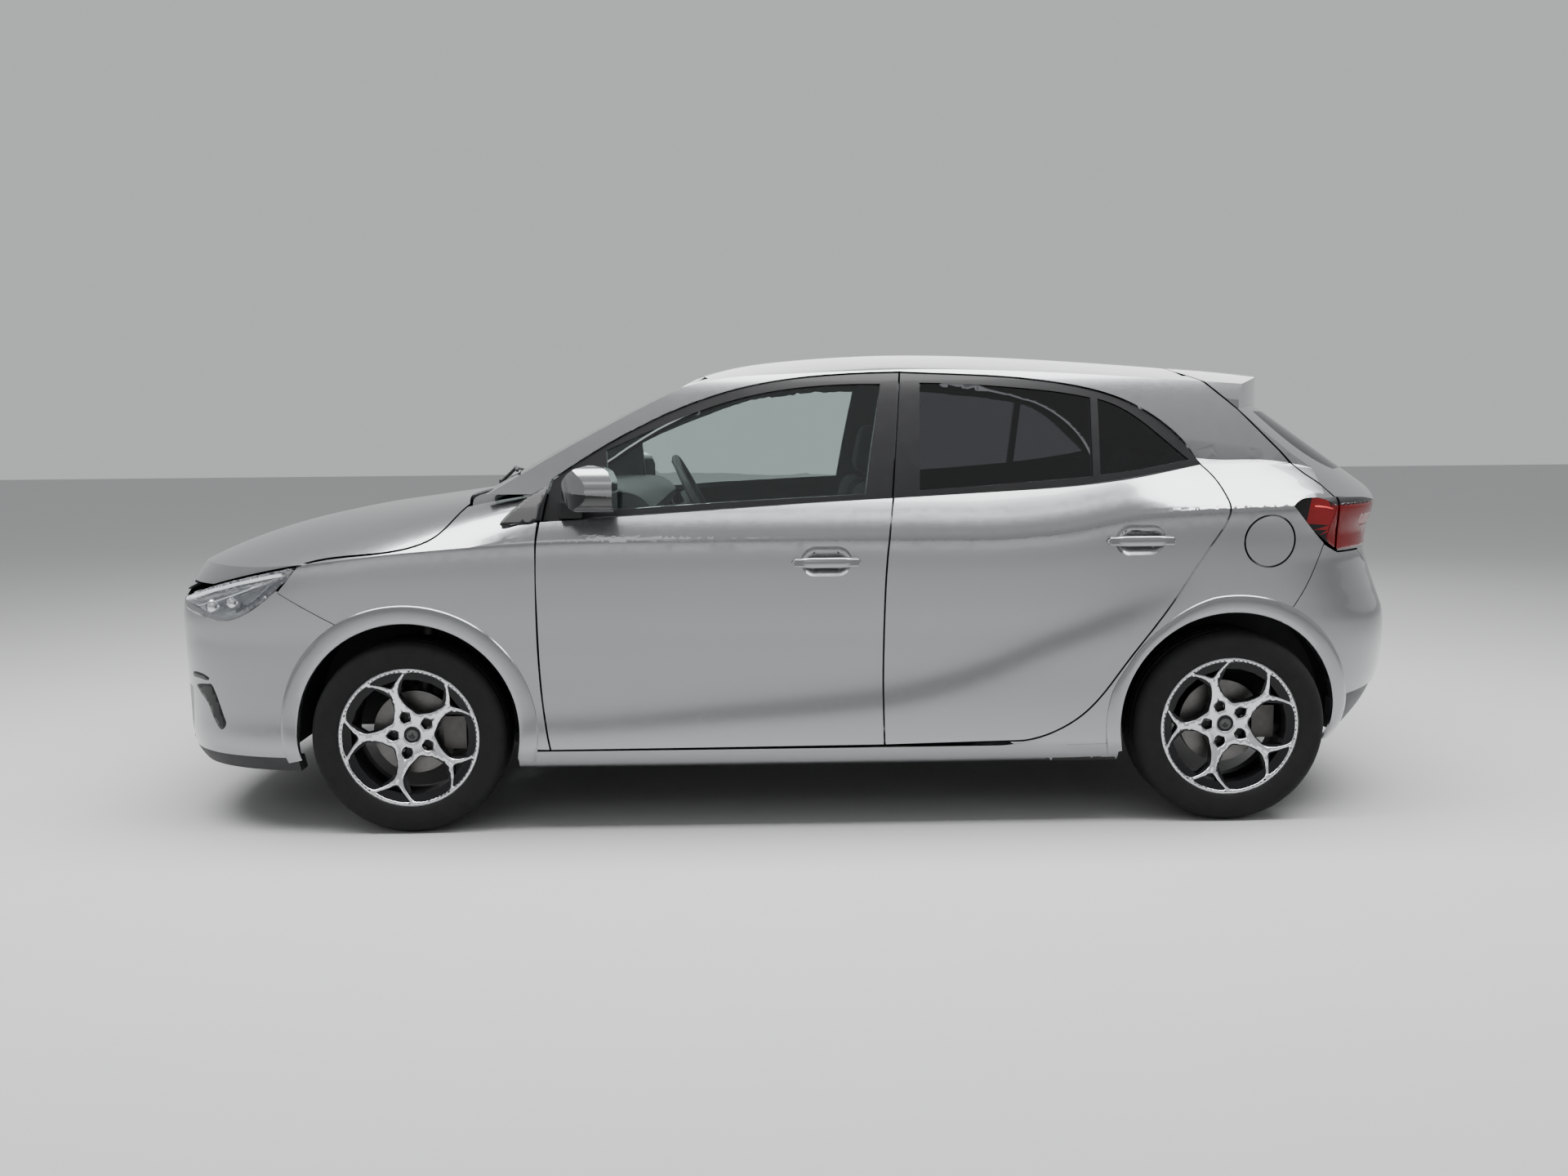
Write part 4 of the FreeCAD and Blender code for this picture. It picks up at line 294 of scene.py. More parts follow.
class F(Enum):
    """The finishes on the car."""

    PAINT = Finish("silver paint", (0.31, 0.318, 0.327), 0.94, 0.23, 1, 0.03, 0.03, 90, flakes=True)
    BLACK = Finish("satin black trim", (0.008, 0.008, 0.009), 0, 0.38, 0.1, 0.1, 0.06, 60, ior=1.38)
    REFLECTOR = Finish("dark lamp reflector", (0.34, 0.345, 0.355), 0.9, 0.22, 0, 0.1, 0.06, 60)
    RED_DEPTH = Finish("red lamp depth", (0.22, 0.005, 0.007), 0.2, 0.3, 0.6, 0.1, 0.06, 60)
    GLOSS = Finish("gloss black", (0.008, 0.008, 0.009), 0, 0.08, 1, 0.1, 0.02, 30)
    PLASTIC = Finish("grained dark plastic", (0.022, 0.022, 0.024), 0, 0.55, 0, 0.12, 0.1, 80, 0.0002, 900)
    GREY = Finish("dark grey plastic", (0.07, 0.072, 0.076), 0.1, 0.45, 0, 0.1, 0.1, 60, 0.0001, 900)
    CLEAR = Finish("clear glass", (0.80, 0.90, 0.87), 0, 0, 0, 0.01, 0.004, 3, transmission=1)
    TINT = Finish("tinted glass", (0.26, 0.265, 0.28), 0, 0, 0, 0.02, 0.004, 3, transmission=1)
    # Rear glass tinted like the rear doors, then darkened to near black: painted shade for the dim load space
    # seen through it.
    SHADED_REAR_GLASS = Finish("rear glass darkened by painted shade", (0.02, 0.021, 0.024), 0, 0.02, 0, 0.02, 0.004, 3,
                        transmission=0.6, ior=1.16)
    LENS = Finish("clear lens", (0.95, 0.96, 0.97), 0, 0.01, 0, 0.01, 0.01, 8, transmission=1, ior=1.3)
    RED_LENS = Finish("red lens", (0.22, 0.006, 0.009), 0, 0.03, 0.3, 0.06, 0.02, 20,
                      transmission=0.35, ior=1.3)
    SMOKE_LENS = Finish("smoked lens", (0.012, 0.003, 0.004), 0, 0.08, 0.2, 0.1, 0.02, 20, ior=1.3)
    CHROME = Finish("bright reflector", (0.80, 0.81, 0.83), 1, 0.12, 0, 0.03, 0.06, 50)
    # The running-light guide glows though the lamps are off: its emission is painted light for the light it
    # catches.
    GLOW = Finish("white light guide with painted glow", (0.86, 0.88, 0.92), 0, 0.3, 0.4, 0.03, 0.05, 60, emission=0.7)
    # The tail guide's faint red glow is painted light; the tail lamps are off.
    RED_GUIDE_PAINTED_GLOW = Finish("red light guide with painted glow", (0.75, 0.05, 0.05), 0, 0.3, 0.4, 0.04, 0.05, 60, emission=0.12)
    ALLOY = Finish("turned alloy", (0.72, 0.73, 0.75), 1, 0.22, 0.6, 0.03, 0.05, 120)
    WHEEL_BLACK = Finish("dark wheel paint", (0.004, 0.004, 0.005), 0, 0.42, 0, 0.1, 0.06, 60, ior=1.35)
    TYRE = Finish("tyre rubber", (0.009, 0.009, 0.009), 0, 0.78, 0, 0.2, 0.12, 60, 0.0003, 500, ior=1.35)
    STEEL = Finish("dark steel", (0.11, 0.105, 0.10), 0.7, 0.5, 0, 0.3, 0.16, 40, 0.0003, 200)
    DISC = Finish("turned brake steel", (0.15, 0.147, 0.143), 0.9, 0.38, 0, 0.2, 0.12, 70, 0.00005, 900)
    UNDER = Finish("sealed underside", (0.03, 0.03, 0.032), 0, 0.7, 0, 0.25, 0.12, 30, 0.0005, 150)
    CLOTH = Finish("seat cloth", (0.035, 0.036, 0.04), 0, 0.9, 0, 0.2, 0.06, 300, 0.0004, 1200, weave=True)
    CABIN = Finish("cabin plastic", (0.03, 0.031, 0.034), 0, 0.62, 0, 0.14, 0.08, 80, 0.0002, 700)
    LINING = Finish("roof lining", (0.34, 0.34, 0.34), 0, 0.9, 0, 0.08, 0.05, 200, 0.0003, 900)
    MIRROR = Finish("mirror glass", (0.86, 0.87, 0.88), 1, 0.02, 0, 0.01, 0.01, 10)
    PLATE = Finish("blank plate", (0.78, 0.78, 0.76), 0, 0.35, 0.2, 0.03, 0.05, 60)
    RUBBER = Finish("seal rubber", (0.015, 0.015, 0.015), 0, 0.6, 0, 0.15, 0.08, 80)


class Paintbox:
    """Makes each finish's material once."""

    def __init__(self) -> None:
        self.made: dict[str, bpy.types.Material] = {}

    def get(self, which: F) -> bpy.types.Material:
        """The material of a finish, made when it is first asked for."""
        finish = which.value
        if finish.name not in self.made:
            self.made[finish.name] = self.mix(finish)
        return self.made[finish.name]

    def mix(self, f: Finish) -> bpy.types.Material:
        """Makes the material of a finish from noise on the object's own coordinates."""
        mat = bpy.data.materials.new(f.name)
        mat.use_nodes = True
        tree = mat.node_tree
        shader = next(n for n in tree.nodes if n.type == "BSDF_PRINCIPLED")
        coords = tree.nodes.new("ShaderNodeTexCoord").outputs["Object"]

        def noise(scale: float, detail: float = 4.0) -> Sock:
            node = tree.nodes.new("ShaderNodeTexNoise")
            node.inputs["Scale"].default_value = scale
            node.inputs["Detail"].default_value = detail
            tree.links.new(coords, node.inputs["Vector"])
            return Sock(tree, node.outputs["Fac"])
        base = noise(f.grain)
        if f.flakes:
            cells = tree.nodes.new("ShaderNodeTexVoronoi")
            cells.inputs["Scale"].default_value = 1800.0
            tree.links.new(coords, cells.inputs["Vector"])
            base = base * 0.5 + Sock(tree, cells.outputs["Distance"]) * 0.6
        tone = (base - 0.5) * (2 * f.vary) + 1.0
        joined = tree.nodes.new("ShaderNodeCombineColor")
        for part, socket in zip(f.color, joined.inputs):
            tree.links.new((tone * part).socket, socket)
        tree.links.new(joined.outputs[0], shader.inputs["Base Color"])
        rough = (noise(f.grain * 0.4) - 0.5) * (2 * f.rough_vary) + f.rough
        tree.links.new(rough.clamp().socket, shader.inputs["Roughness"])
        fixed = {"Metallic": f.metallic, "Coat Weight": f.coat, "Coat Roughness": 0.03, "IOR": f.ior,
                 "Transmission Weight": f.transmission}
        if f.emission:
            fixed |= {"Emission Color": (*f.color, 1), "Emission Strength": f.emission}
        for name, value in fixed.items():
            shader.inputs[name].default_value = value
        if f.bump:
            if f.weave:
                split = tree.nodes.new("ShaderNodeSeparateXYZ")
                tree.links.new(coords, split.inputs[0])
                x, y, z = (Sock(tree, s) for s in split.outputs)
                threads = ((x + z) * 2400.0).sine() * ((y - z) * 2400.0).sine()
                height = threads * 0.5 + noise(f.bump_scale) * 0.5
            else:
                height = noise(f.bump_scale, 3.0)
            bump = tree.nodes.new("ShaderNodeBump")
            bump.inputs["Distance"].default_value = f.bump
            bump.inputs["Strength"].default_value = 0.8
            tree.links.new(height.socket, bump.inputs["Height"])
            tree.links.new(bump.outputs[0], shader.inputs["Normal"])
        return mat


BOX = Paintbox()


@dataclass
class Mesh:
    """Plain arrays of a mesh in millimetres."""

    points: np.ndarray
    faces: Faces
    normals: np.ndarray


def read(node: str) -> Mesh:
    """Copies a CAD node's mesh in the row frame, doubles merged, keeping its corner normals."""
    obj = frame["nodes"][node]
    mesh = obj.data
    world = np.array(obj.matrix_world)
    count = len(mesh.vertices)
    raw = np.empty(count * 3)
    mesh.vertices.foreach_get("co", raw)
    points = raw.reshape(-1, 3) @ world[:3, :3].T + world[:3, 3]
    corner = np.empty(len(mesh.loops) * 3)
    mesh.corner_normals.foreach_get("vector", corner)
    corner = corner.reshape(-1, 3) @ world[:3, :3].T
    key = np.round(points / 1e-6).astype(np.int64)
    _, first, inverse = np.unique(key, axis=0, return_index=True, return_inverse=True)
    inverse = np.asarray(inverse).ravel()
    faces, normals = [], []
    for poly in mesh.polygons:
        ids = [int(inverse[v]) for v in poly.vertices]
        if len(set(ids)) < len(ids):
            continue
        faces.append(tuple(ids))
        normals.extend(corner[i] for i in poly.loop_indices)
    return Mesh(points[first] / MM, faces, np.array(normals))


def face_facts(mesh: Mesh) -> tuple[np.ndarray, np.ndarray]:
    """Centre and unit normal of each face."""
    tri = np.array([f[:3] for f in mesh.faces])
    a, b, c = (mesh.points[tri[:, k]] for k in range(3))
    normal = np.cross(b - a, c - a)
    normal /= np.linalg.norm(normal, axis=1)[:, None] + 1e-12
    centre = np.array([mesh.points[list(f)].mean(axis=0) for f in mesh.faces])
    return centre, normal


def split_parts(cut: tuple[bool, bool, bool]) -> list[tuple[int, int, int]]:
    """Smaller triangles of one whose edges 0-1, 1-2 and 2-0 may be halved at middles 3, 4 and 5."""
    count = sum(cut)
    if count == 0:
        return [(0, 1, 2)]
    if count == 3:
        return [(0, 3, 5), (3, 1, 4), (5, 4, 2), (3, 4, 5)]
    a = cut.index(count == 1)
    b, c = (a + 1) % 3, (a + 2) % 3
    if count == 1:
        return [(a, 3 + a, c), (3 + a, b, c)]
    return [(a, b, 3 + b), (a, 3 + b, 3 + c), (3 + b, c, 3 + c)]


SPLITS = {cut: split_parts(cut) for cut in product((False, True), repeat=3)}


def refine(mesh: Mesh, longest: float, rounds: int = 4) -> Mesh:
    """Splits the triangles of the outermost surface whose edges are long, keeping the mesh joined.

    Args:
        longest: edge length in millimetres above which an edge of such a triangle is halved.
        rounds: how often the edges are looked at.
    Returns:
        The finer mesh, with its corner normals carried over.
    """
    points, tri = mesh.points, np.array(mesh.faces)
    normals = mesh.normals.reshape(-1, 3, 3)
    for _ in range(rounds):
        _, outer = smooth_normals(Mesh(points, [tuple(t) for t in tri], normals.reshape(-1, 3)))
        ends = np.stack([tri, np.roll(tri, -1, axis=1)], axis=2).reshape(-1, 2)
        edges, where = np.unique(np.sort(ends, axis=1), axis=0, return_inverse=True)
        where = np.asarray(where).reshape(-1, 3)
        wanted = np.zeros(len(edges), bool)
        wanted[where[outer].ravel()] = True
        wanted &= np.linalg.norm(points[edges[:, 0]] - points[edges[:, 1]], axis=1) > longest
        if not wanted.any():
            break
        fresh = np.full(len(edges), -1)
        fresh[wanted] = len(points) + np.arange(wanted.sum())
        points = np.concatenate([points, points[edges[wanted]].mean(axis=1)])
        rows, dirs = [], []
        for ids, middles, n in zip(tri, fresh[where], normals):
            if middles.max() < 0:
                rows.append(ids)
                dirs.append(n)
                continue
            all_ids = [*ids, *middles]
            all_n = [*n, *((n[k] + n[(k + 1) % 3]) / 2 for k in range(3))]
            for part in SPLITS[tuple(middles >= 0)]:
                rows.append(np.array([all_ids[i] for i in part]))
                dirs.append(np.array([all_n[i] for i in part]))
        tri, normals = np.array(rows), np.array(dirs)
    return Mesh(points, [tuple(int(i) for i in t) for t in tri], normals.reshape(-1, 3))


def smooth_normals(mesh: Mesh) -> tuple[np.ndarray, np.ndarray]:
    """Corner normals from the body's formulas where the mesh lies on them.

    Returns:
        The normals, and for each face whether all its corners lie on the outermost surface.
    """
    _, flat = face_facts(mesh)
    sizes = [len(f) for f in mesh.faces]
    owner = np.repeat(np.arange(len(sizes)), sizes)
    corner = np.concatenate([np.array(f) for f in mesh.faces])
    normals = mesh.normals.copy()
    best = np.full(len(corner), AGREE)
    outer = np.zeros(len(corner), bool)
    with np.errstate(all="ignore"):
        for k, fn in enumerate(BodyForm.surfaces()):
            distance, normal = graded(fn, mesh.points)
            dot = np.einsum("ij,ij->i", normal[corner], flat[owner])
            good = (np.abs(distance[corner]) < ON_SURFACE) & (dot > best)
            normals[good] = normal[corner][good]
            best[good] = dot[good]
            if k < BodyForm.outermost:
                outer |= good
    face_outer = np.ones(len(sizes), bool)
    np.logical_and.at(face_outer, owner, outer)
    return normals, face_outer


def metres(points: np.ndarray) -> list[tuple[float, ...]]:
    """Rows of millimetres as tuples of metres."""
    return [tuple(float(c) * MM for c in p) for p in points]


def build(name: str, points: np.ndarray, faces: Faces, mats: Sequence[F], body: str,
          slots: np.ndarray | None = None, normals: np.ndarray | None = None, smooth: bool = True,
          replaces: Sequence[str] = ()) -> bpy.types.Object:
    """Makes a mesh object at the origin and lets it ride on a CAD body.

    Args:
        points: vertices in millimetres.
        mats: finishes; slots picks one for each face.
        body: the CAD body that it moves with.
        normals: one per face corner, or none for smooth shading.
        replaces: CAD nodes that it stands for.
    Returns:
        The new object.
    """
    mesh = bpy.data.meshes.new(name)
    mesh.from_pydata(metres(points), [], faces)
    for which in mats:
        mesh.materials.append(BOX.get(which))
    if slots is not None:
        mesh.polygons.foreach_set("material_index", slots.astype(np.int32))
    mesh.polygons.foreach_set("use_smooth", np.full(len(mesh.polygons), smooth))
    if normals is not None:
        mesh.normals_split_custom_set([tuple(map(float, n)) for n in normals])
    mesh.update()
    obj = bpy.data.objects.new(name, mesh)
    bpy.context.scene.collection.objects.link(obj)
    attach(obj, body)
    if replaces:
        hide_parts(*replaces)
    return obj


def dress(node: str, mesh: Mesh, mats: Sequence[F], slots: np.ndarray | None,
          normals: np.ndarray | None) -> bpy.types.Object:
    """Makes the piece that stands for a CAD node."""
    return build(node + "_look", mesh.points, mesh.faces, mats, BODY_OF[node], slots, normals,
                 replaces=[node])


def mirrored(points: np.ndarray, faces: Faces) -> Form:
    """The same form on the car's other side."""
    return points * np.array([1, -1, 1]), [f[::-1] for f in faces]


def both(name: str, form: Form, which: F, wall: float = 0, crisp: float = 0,
         tags: tuple[str, str] = ("l", "r"), body: str = "car") -> None:
    """Makes a left form and its mirror image.

    Args:
        form: points and faces of the left one.
        wall: thickness for a sheet.
        crisp: angle in degrees above which a solid's edges are kept sharp.
        tags: ends of the two names.
        body: the CAD body of both, where SIDE stands for the tag.
    """
    for tag, (points, faces) in zip(tags, (form, mirrored(*form))):
        obj = build("%s_%s" % (name, tag), points, faces, [which], body.replace("SIDE", tag))
        if wall:
            solidify(obj, wall)
        if crisp:
            sharpen(obj, crisp)


def turns(count: int) -> list[float]:
    """Even angles round a full circle."""
    return [2 * math.pi * k / count for k in range(count)]


def lathe(profile: Rows, centre: Vector, steps: int) -> Form:
    """Turns a closed profile of (radius, y) points about an axle line through the centre."""
    points = [(centre.x + r * math.sin(a), centre.y + y, centre.z + r * math.cos(a))
              for a in turns(steps) for r, y in profile]
    n = len(profile)
    faces = [(k * n + j, k * n + (j + 1) % n, (k + 1) % steps * n + (j + 1) % n, (k + 1) % steps * n + j)
             for k in range(steps) for j in range(n)]
    return np.array(points), faces


def loft(points: Sequence[Sequence[float]], sides: int) -> Form:
    """A skin over rows of points that each go once round, closed at both ends."""
    last = len(points) - sides
    faces = [(i + k, i + (k + 1) % sides, i + sides + (k + 1) % sides, i + sides + k)
             for i in range(0, last, sides) for k in range(sides)]
    return np.array(points), faces + [tuple(range(sides))[::-1], tuple(range(last, last + sides))]


def tube(path: Sequence[Sequence[float]], radius: float, sides: int = 10) -> Form:
    """Round bar along a path."""
    line = [Vector(p) for p in path]
    points = []
    turn = (line[1] - line[0]).normalized().orthogonal().normalized()
    for i, p in enumerate(line):
        ahead = (line[min(i + 1, len(line) - 1)] - line[max(i - 1, 0)]).normalized()
        turn = (turn - ahead * turn.dot(ahead)).normalized()
        other = ahead.cross(turn)
        points += [tuple(p + (turn * math.cos(a) + other * math.sin(a)) * radius) for a in turns(sides)]
    return loft(points, sides)


def compact(faces: Faces) -> tuple[list[int], Faces]:
    """The vertices that faces use, and the faces numbered by them."""
    used = sorted({v for f in faces for v in f})
    back = {v: k for k, v in enumerate(used)}
    return used, [tuple(back[v] for v in f) for f in faces]


def hold(mesh: bpy.types.Mesh) -> bpy.types.Object:
    """Puts a mesh into the scene for a modifier to work on."""
    holder = bpy.data.objects.new(mesh.name, mesh)
    bpy.context.scene.collection.objects.link(holder)
    return holder


def baked(holder: bpy.types.Object) -> Mesh:
    """Plain arrays of an object with its modifiers applied, one normal a vertex; the object goes."""
    done = bpy.data.meshes.new_from_object(holder.evaluated_get(bpy.context.evaluated_depsgraph_get()))
    bpy.data.objects.remove(holder)
    points, normals = (np.array([tuple(getattr(v, key)) for v in done.vertices]) for key in ("co", "normal"))
    faces = [tuple(f.vertices) for f in done.polygons]
    bpy.data.meshes.remove(done)
    return Mesh(points / MM, faces, normals)


def solidify(obj: bpy.types.Object, inward: float) -> None:
    """Gives a sheet a wall behind it, in millimetres."""
    mod = obj.modifiers.new("wall", "SOLIDIFY")
    mod.thickness = inward * MM
    mod.offset = -1


def sharpen(obj: bpy.types.Object, degrees: float) -> None:
    """Turns all faces outward and keeps edges sharper than an angle crisp under smooth shading."""
    grid = bmesh.new()
    grid.from_mesh(obj.data)
    bmesh.ops.recalc_face_normals(grid, faces=grid.faces)
    for edge in grid.edges:
        edge.smooth = not (len(edge.link_faces) == 2 and edge.calc_face_angle(0) > math.radians(degrees))
    grid.to_mesh(obj.data)
    grid.free()


def closed_curve(points: Rows, steps: int = 5) -> np.ndarray:
    """Smooth closed loop through points."""
    p = np.array(points, float)
    a, b, c, d = np.roll(p, 1, axis=0), p, np.roll(p, -1, axis=0), np.roll(p, -2, axis=0)
    second, third = 2 * a - 5 * b + 4 * c - d, 3 * b - a - 3 * c + d
    rows = [0.5 * (2 * b + (c - a) * t + second * t * t + third * t ** 3)
            for t in np.linspace(0, 1, steps, endpoint=False)]
    return np.stack(rows, axis=1).reshape(-1, 2)


def within(loop: np.ndarray, at: np.ndarray) -> np.ndarray:
    """Whether plane points lie inside a closed loop."""
    hit = np.zeros(len(at), bool)
    for (x0, z0), (x1, z1) in zip(loop, np.roll(loop, -1, axis=0)):
        cross = (z0 > at[:, 1]) != (z1 > at[:, 1])
        with np.errstate(all="ignore"):
            edge = (x1 - x0) * (at[:, 1] - z0) / (z1 - z0) + x0
        hit ^= cross & (at[:, 0] < edge)
    return hit


def distance_to(loop: np.ndarray, at: np.ndarray) -> np.ndarray:
    """Distance of plane points to the nearest point of a loop."""
    return np.min(np.linalg.norm(at[:, None] - loop[None], axis=2), axis=1)


def triangulate(loops: Sequence[np.ndarray], inner: np.ndarray, mode: int,
                near: float) -> tuple[np.ndarray, np.ndarray]:
    """Triangles over closed loops and the plane points between them.

    Args:
        mode: what the triangulation gives: 0 all triangles, 1 those inside the loops.
        near: distance under which points are merged.
    Returns:
        The plane points and the triangles.
    """
    verts, edges = [], []
    for loop in loops:
        base, count = len(verts), len(loop)
        verts += [Vector(p) for p in loop]
        edges += [(base + i, base + (i + 1) % count) for i in range(count)]
    verts += [Vector(p) for p in inner]
    flat, _, tris, *_ = geometry.delaunay_2d_cdt(verts, edges, [], mode, near)
    return np.array([tuple(v) for v in flat]), np.array(tris)


def ring_of_nuts(count: int, pitch: float, radius: float, height: float) -> Mesh:
    """Six-sided nuts on a circle about the Y axis, made by Geometry Nodes and turned into a plain mesh.

    Args:
        count: how many nuts.
        pitch: radius of their circle, in millimetres.
        radius: half the width of a nut across its corners.
        height: length of a nut.
    Returns:
        The nuts' arrays.
    """
    tree = bpy.data.node_groups.new("ring of nuts", "GeometryNodeTree")
    given = {}
    for name, value in (("Count", count), ("Pitch Radius", pitch * MM), ("Nut Radius", radius * MM),
                        ("Nut Height", height * MM)):
        kind = "NodeSocketInt" if name == "Count" else "NodeSocketFloat"
        given[tree.interface.new_socket(name, in_out="INPUT", socket_type=kind).identifier] = value
    tree.interface.new_socket("Geometry", in_out="OUTPUT", socket_type="NodeSocketGeometry")
    ins, circle, nut, spread, real, turn, paint, outs = (tree.nodes.new(kind) for kind in (
        "NodeGroupInput", "GeometryNodeMeshCircle", "GeometryNodeMeshCylinder",
        "GeometryNodeInstanceOnPoints", "GeometryNodeRealizeInstances", "GeometryNodeTransform",
        "GeometryNodeSetMaterial", "NodeGroupOutput"))
    nut.inputs["Vertices"].default_value = 6
    turn.inputs["Rotation"].default_value = (math.pi / 2, 0, 0)
    paint.inputs["Material"].default_value = BOX.get(F.STEEL)
    chain = (spread, real, turn, paint, outs)
    for source, out, target, into in (
            (ins, "Count", circle, "Vertices"), (ins, "Pitch Radius", circle, "Radius"),
            (ins, "Nut Radius", nut, "Radius"), (ins, "Nut Height", nut, "Depth"),
            (circle, "Mesh", spread, "Points"), (nut, "Mesh", spread, "Instance"),
            *((a, 0, b, "Geometry") for a, b in zip(chain, chain[1:]))):
        tree.links.new(source.outputs[out], target.inputs[into])
    holder = hold(bpy.data.meshes.new("nuts"))
    mod = holder.modifiers.new("nuts", "NODES")
    mod.node_group = tree
    for identifier, value in given.items():
        mod[identifier] = value
    return baked(holder)


@dataclass
class Patch:
    """A sheet laid along the body's side within an outline in x and z.

    Args:
        outline: corners of the outline, joined by a smooth curve.
        rise: millimetres proud of the side for the distance to the outline.
        pitch: spacing of the inner points.
        wall: thickness of the sheet.
    """

    outline: Rows
    rise: Callable[[np.ndarray], np.ndarray] = lambda gap: 0.9 + 0 * gap
    pitch: float = 12.0
    wall: float = 1.5

    def lay(self, name: str, which: F) -> None:
        """Makes the sheet on both sides of the car."""
        loop = closed_curve(self.outline, 4)
        spans = (np.arange(low, high, self.pitch) for low, high in zip(loop.min(axis=0), loop.max(axis=0)))
        grid = np.stack([side.ravel() for side in np.meshgrid(*spans)], axis=1)
        grid = grid[within(loop, grid)]
        grid = grid[distance_to(loop, grid) > self.pitch * 0.4]
        plane, tris = triangulate([loop], grid, 1, 1e-4)
        x, z = plane.T
        wide = BodyForm.half(x, z)
        wide = np.where(z > WAIST_Z, np.maximum(wide, -BodyForm.cabin(x, np.zeros(len(x)), z)), wide)
        points = np.stack([x, -(wide + self.rise(distance_to(loop, plane))), z], axis=1)
        faces = []
        for t in tris.tolist():
            a, b, c = points[t]
            faces.append(tuple(t) if np.cross(b - a, c - a)[1] < 0 else tuple(t[::-1]))
        both(name, (points, faces), which, self.wall)


@dataclass
class Trim:
    """Flares round the wheel openings, sill strips, front corner vents, bumper seams and door handles."""

    flare_turn: float = 104
    flare_wide: dict[str, Rows] = field(default_factory=lambda: {
        "front": ((-104, 50), (-60, 58), (104, 58)),
        "rear": ((-104, 50), (-75, 46), (-60, 32), (-35, 34), (-10, 55), (30, 58), (104, 58))})
    flare_profile: Rows = (
        (0.0, -14), (0.0, 2.5), (0.05, 5), (0.3, 6.5), (0.72, 5.6), (0.93, 3.2), (1.0, -1.5), (0.5, -14))
    sill_span: tuple[float, float] = (-872, 1006)
    sill_top: Rows = ((640, 259), (700, 266), (760, 283), (800, 297), (812, 297), (830, 259))
    sill_profile: Rows = (
        (259, 0.7), (246, 0.9), (228, 0.9), (212, 0.5), (203, -4), (199, -14), (199, -30), (206, -32),
        (252, -14), (259, -12))
    handles: Sequence[tuple[str, float, float]] = (("door_front", 88, 843), ("door_rear", 1052, 898))
    grip: tuple[float, float, float] = (106, 9.4, 16.5)
    seam: Rows = ((-1588, 764), (-1520, 722), (-1450, 682), (-1366, 637))
    patches: dict[str, Patch] = field(default_factory=lambda: {
        "corner_vent": Patch([
            (-1922, 452), (-1870, 462), (-1846, 456), (-1812, 372), (-1802, 340), (-1822, 322), (-1848, 352),
            (-1872, 400), (-1905, 430)]),
        "corner_slot": Patch([
            (-1935, 492), (-1895, 494), (-1862, 484), (-1868, 474), (-1905, 476), (-1938, 476)]),
        "sail_trim": Patch([
            (-906, 968), (-850, 971), (-799, 975), (-790, 1010), (-768, 1078), (-806, 1060), (-856, 1024)],
            pitch=10.0)})

    def flare(self, end: str, cx: float) -> None:
        """Raised rim round a wheel opening, whose width changes with the turn from its top."""
        points = []
        for a in np.linspace(-self.flare_turn, self.flare_turn, 112):
            wide = np.interp(a, *np.array(self.flare_wide[end], float).T)
            turn = math.radians(a)
            for share, rise in self.flare_profile:
                r = ARCH_RADIUS[end] + 0.6 + share * wide
                x, z = cx + r * math.sin(turn), HUB_Z + ARCH_RISE + r * math.cos(turn)
                points.append(BodyForm.over(x, z, rise))
        points, faces = loft(points, len(self.flare_profile))
        faces[-2:] = [cap[::-1] for cap in faces[-2:]]
        both("flare_" + end, (points, faces), F.PAINT, crisp=38)

    def sill(self) -> None:
        """Strip below the doors, whose upper edge rises before the rear wheel."""
        points = []
        for x in np.linspace(*self.sill_span, 80):
            top = float(np.interp(x, *np.array(self.sill_top, float).T))
            points += [BodyForm.over(x, top if height > 258 else float(height), rise)
                       for height, rise in self.sill_profile]
        both("sill_strip", loft(points, len(self.sill_profile)), F.PAINT, crisp=38)

    def handle(self, door: str, x: float, z: float) -> None:
        """Rounded grip bar of a door, centred at x and z."""
        length, depth, height = self.grip
        sides = 16
        y = BodyForm.over(x, z, 13.2)[1]
        points = []
        for t in np.linspace(-1, 1, 28):
            thin = max(0.02, 1 - abs(t) ** 5) ** 0.5
            points += [(x + t * length, y + 3.5 * t * t + math.cos(a) * depth * thin,
                        z + math.sin(a) * height * thin) for a in turns(sides)]
        both("handle_" + door, loft(points, sides), F.PAINT, crisp=40, tags=("left", "right"),
             body=door + "_SIDE")

    def build(self) -> None:
        """Makes all trim."""
        self.flare("front", AXLE_F)
        self.flare("rear", AXLE_R)
        self.sill()
        for door, x, z in self.handles:
            self.handle(door, x, z)
        for name, patch in self.patches.items():
            patch.lay(name, F.BLACK)
        both("bumper_seam", tube([BodyForm.over(x, z, -0.2) for x, z in self.seam], 1.6, 6), F.RUBBER)


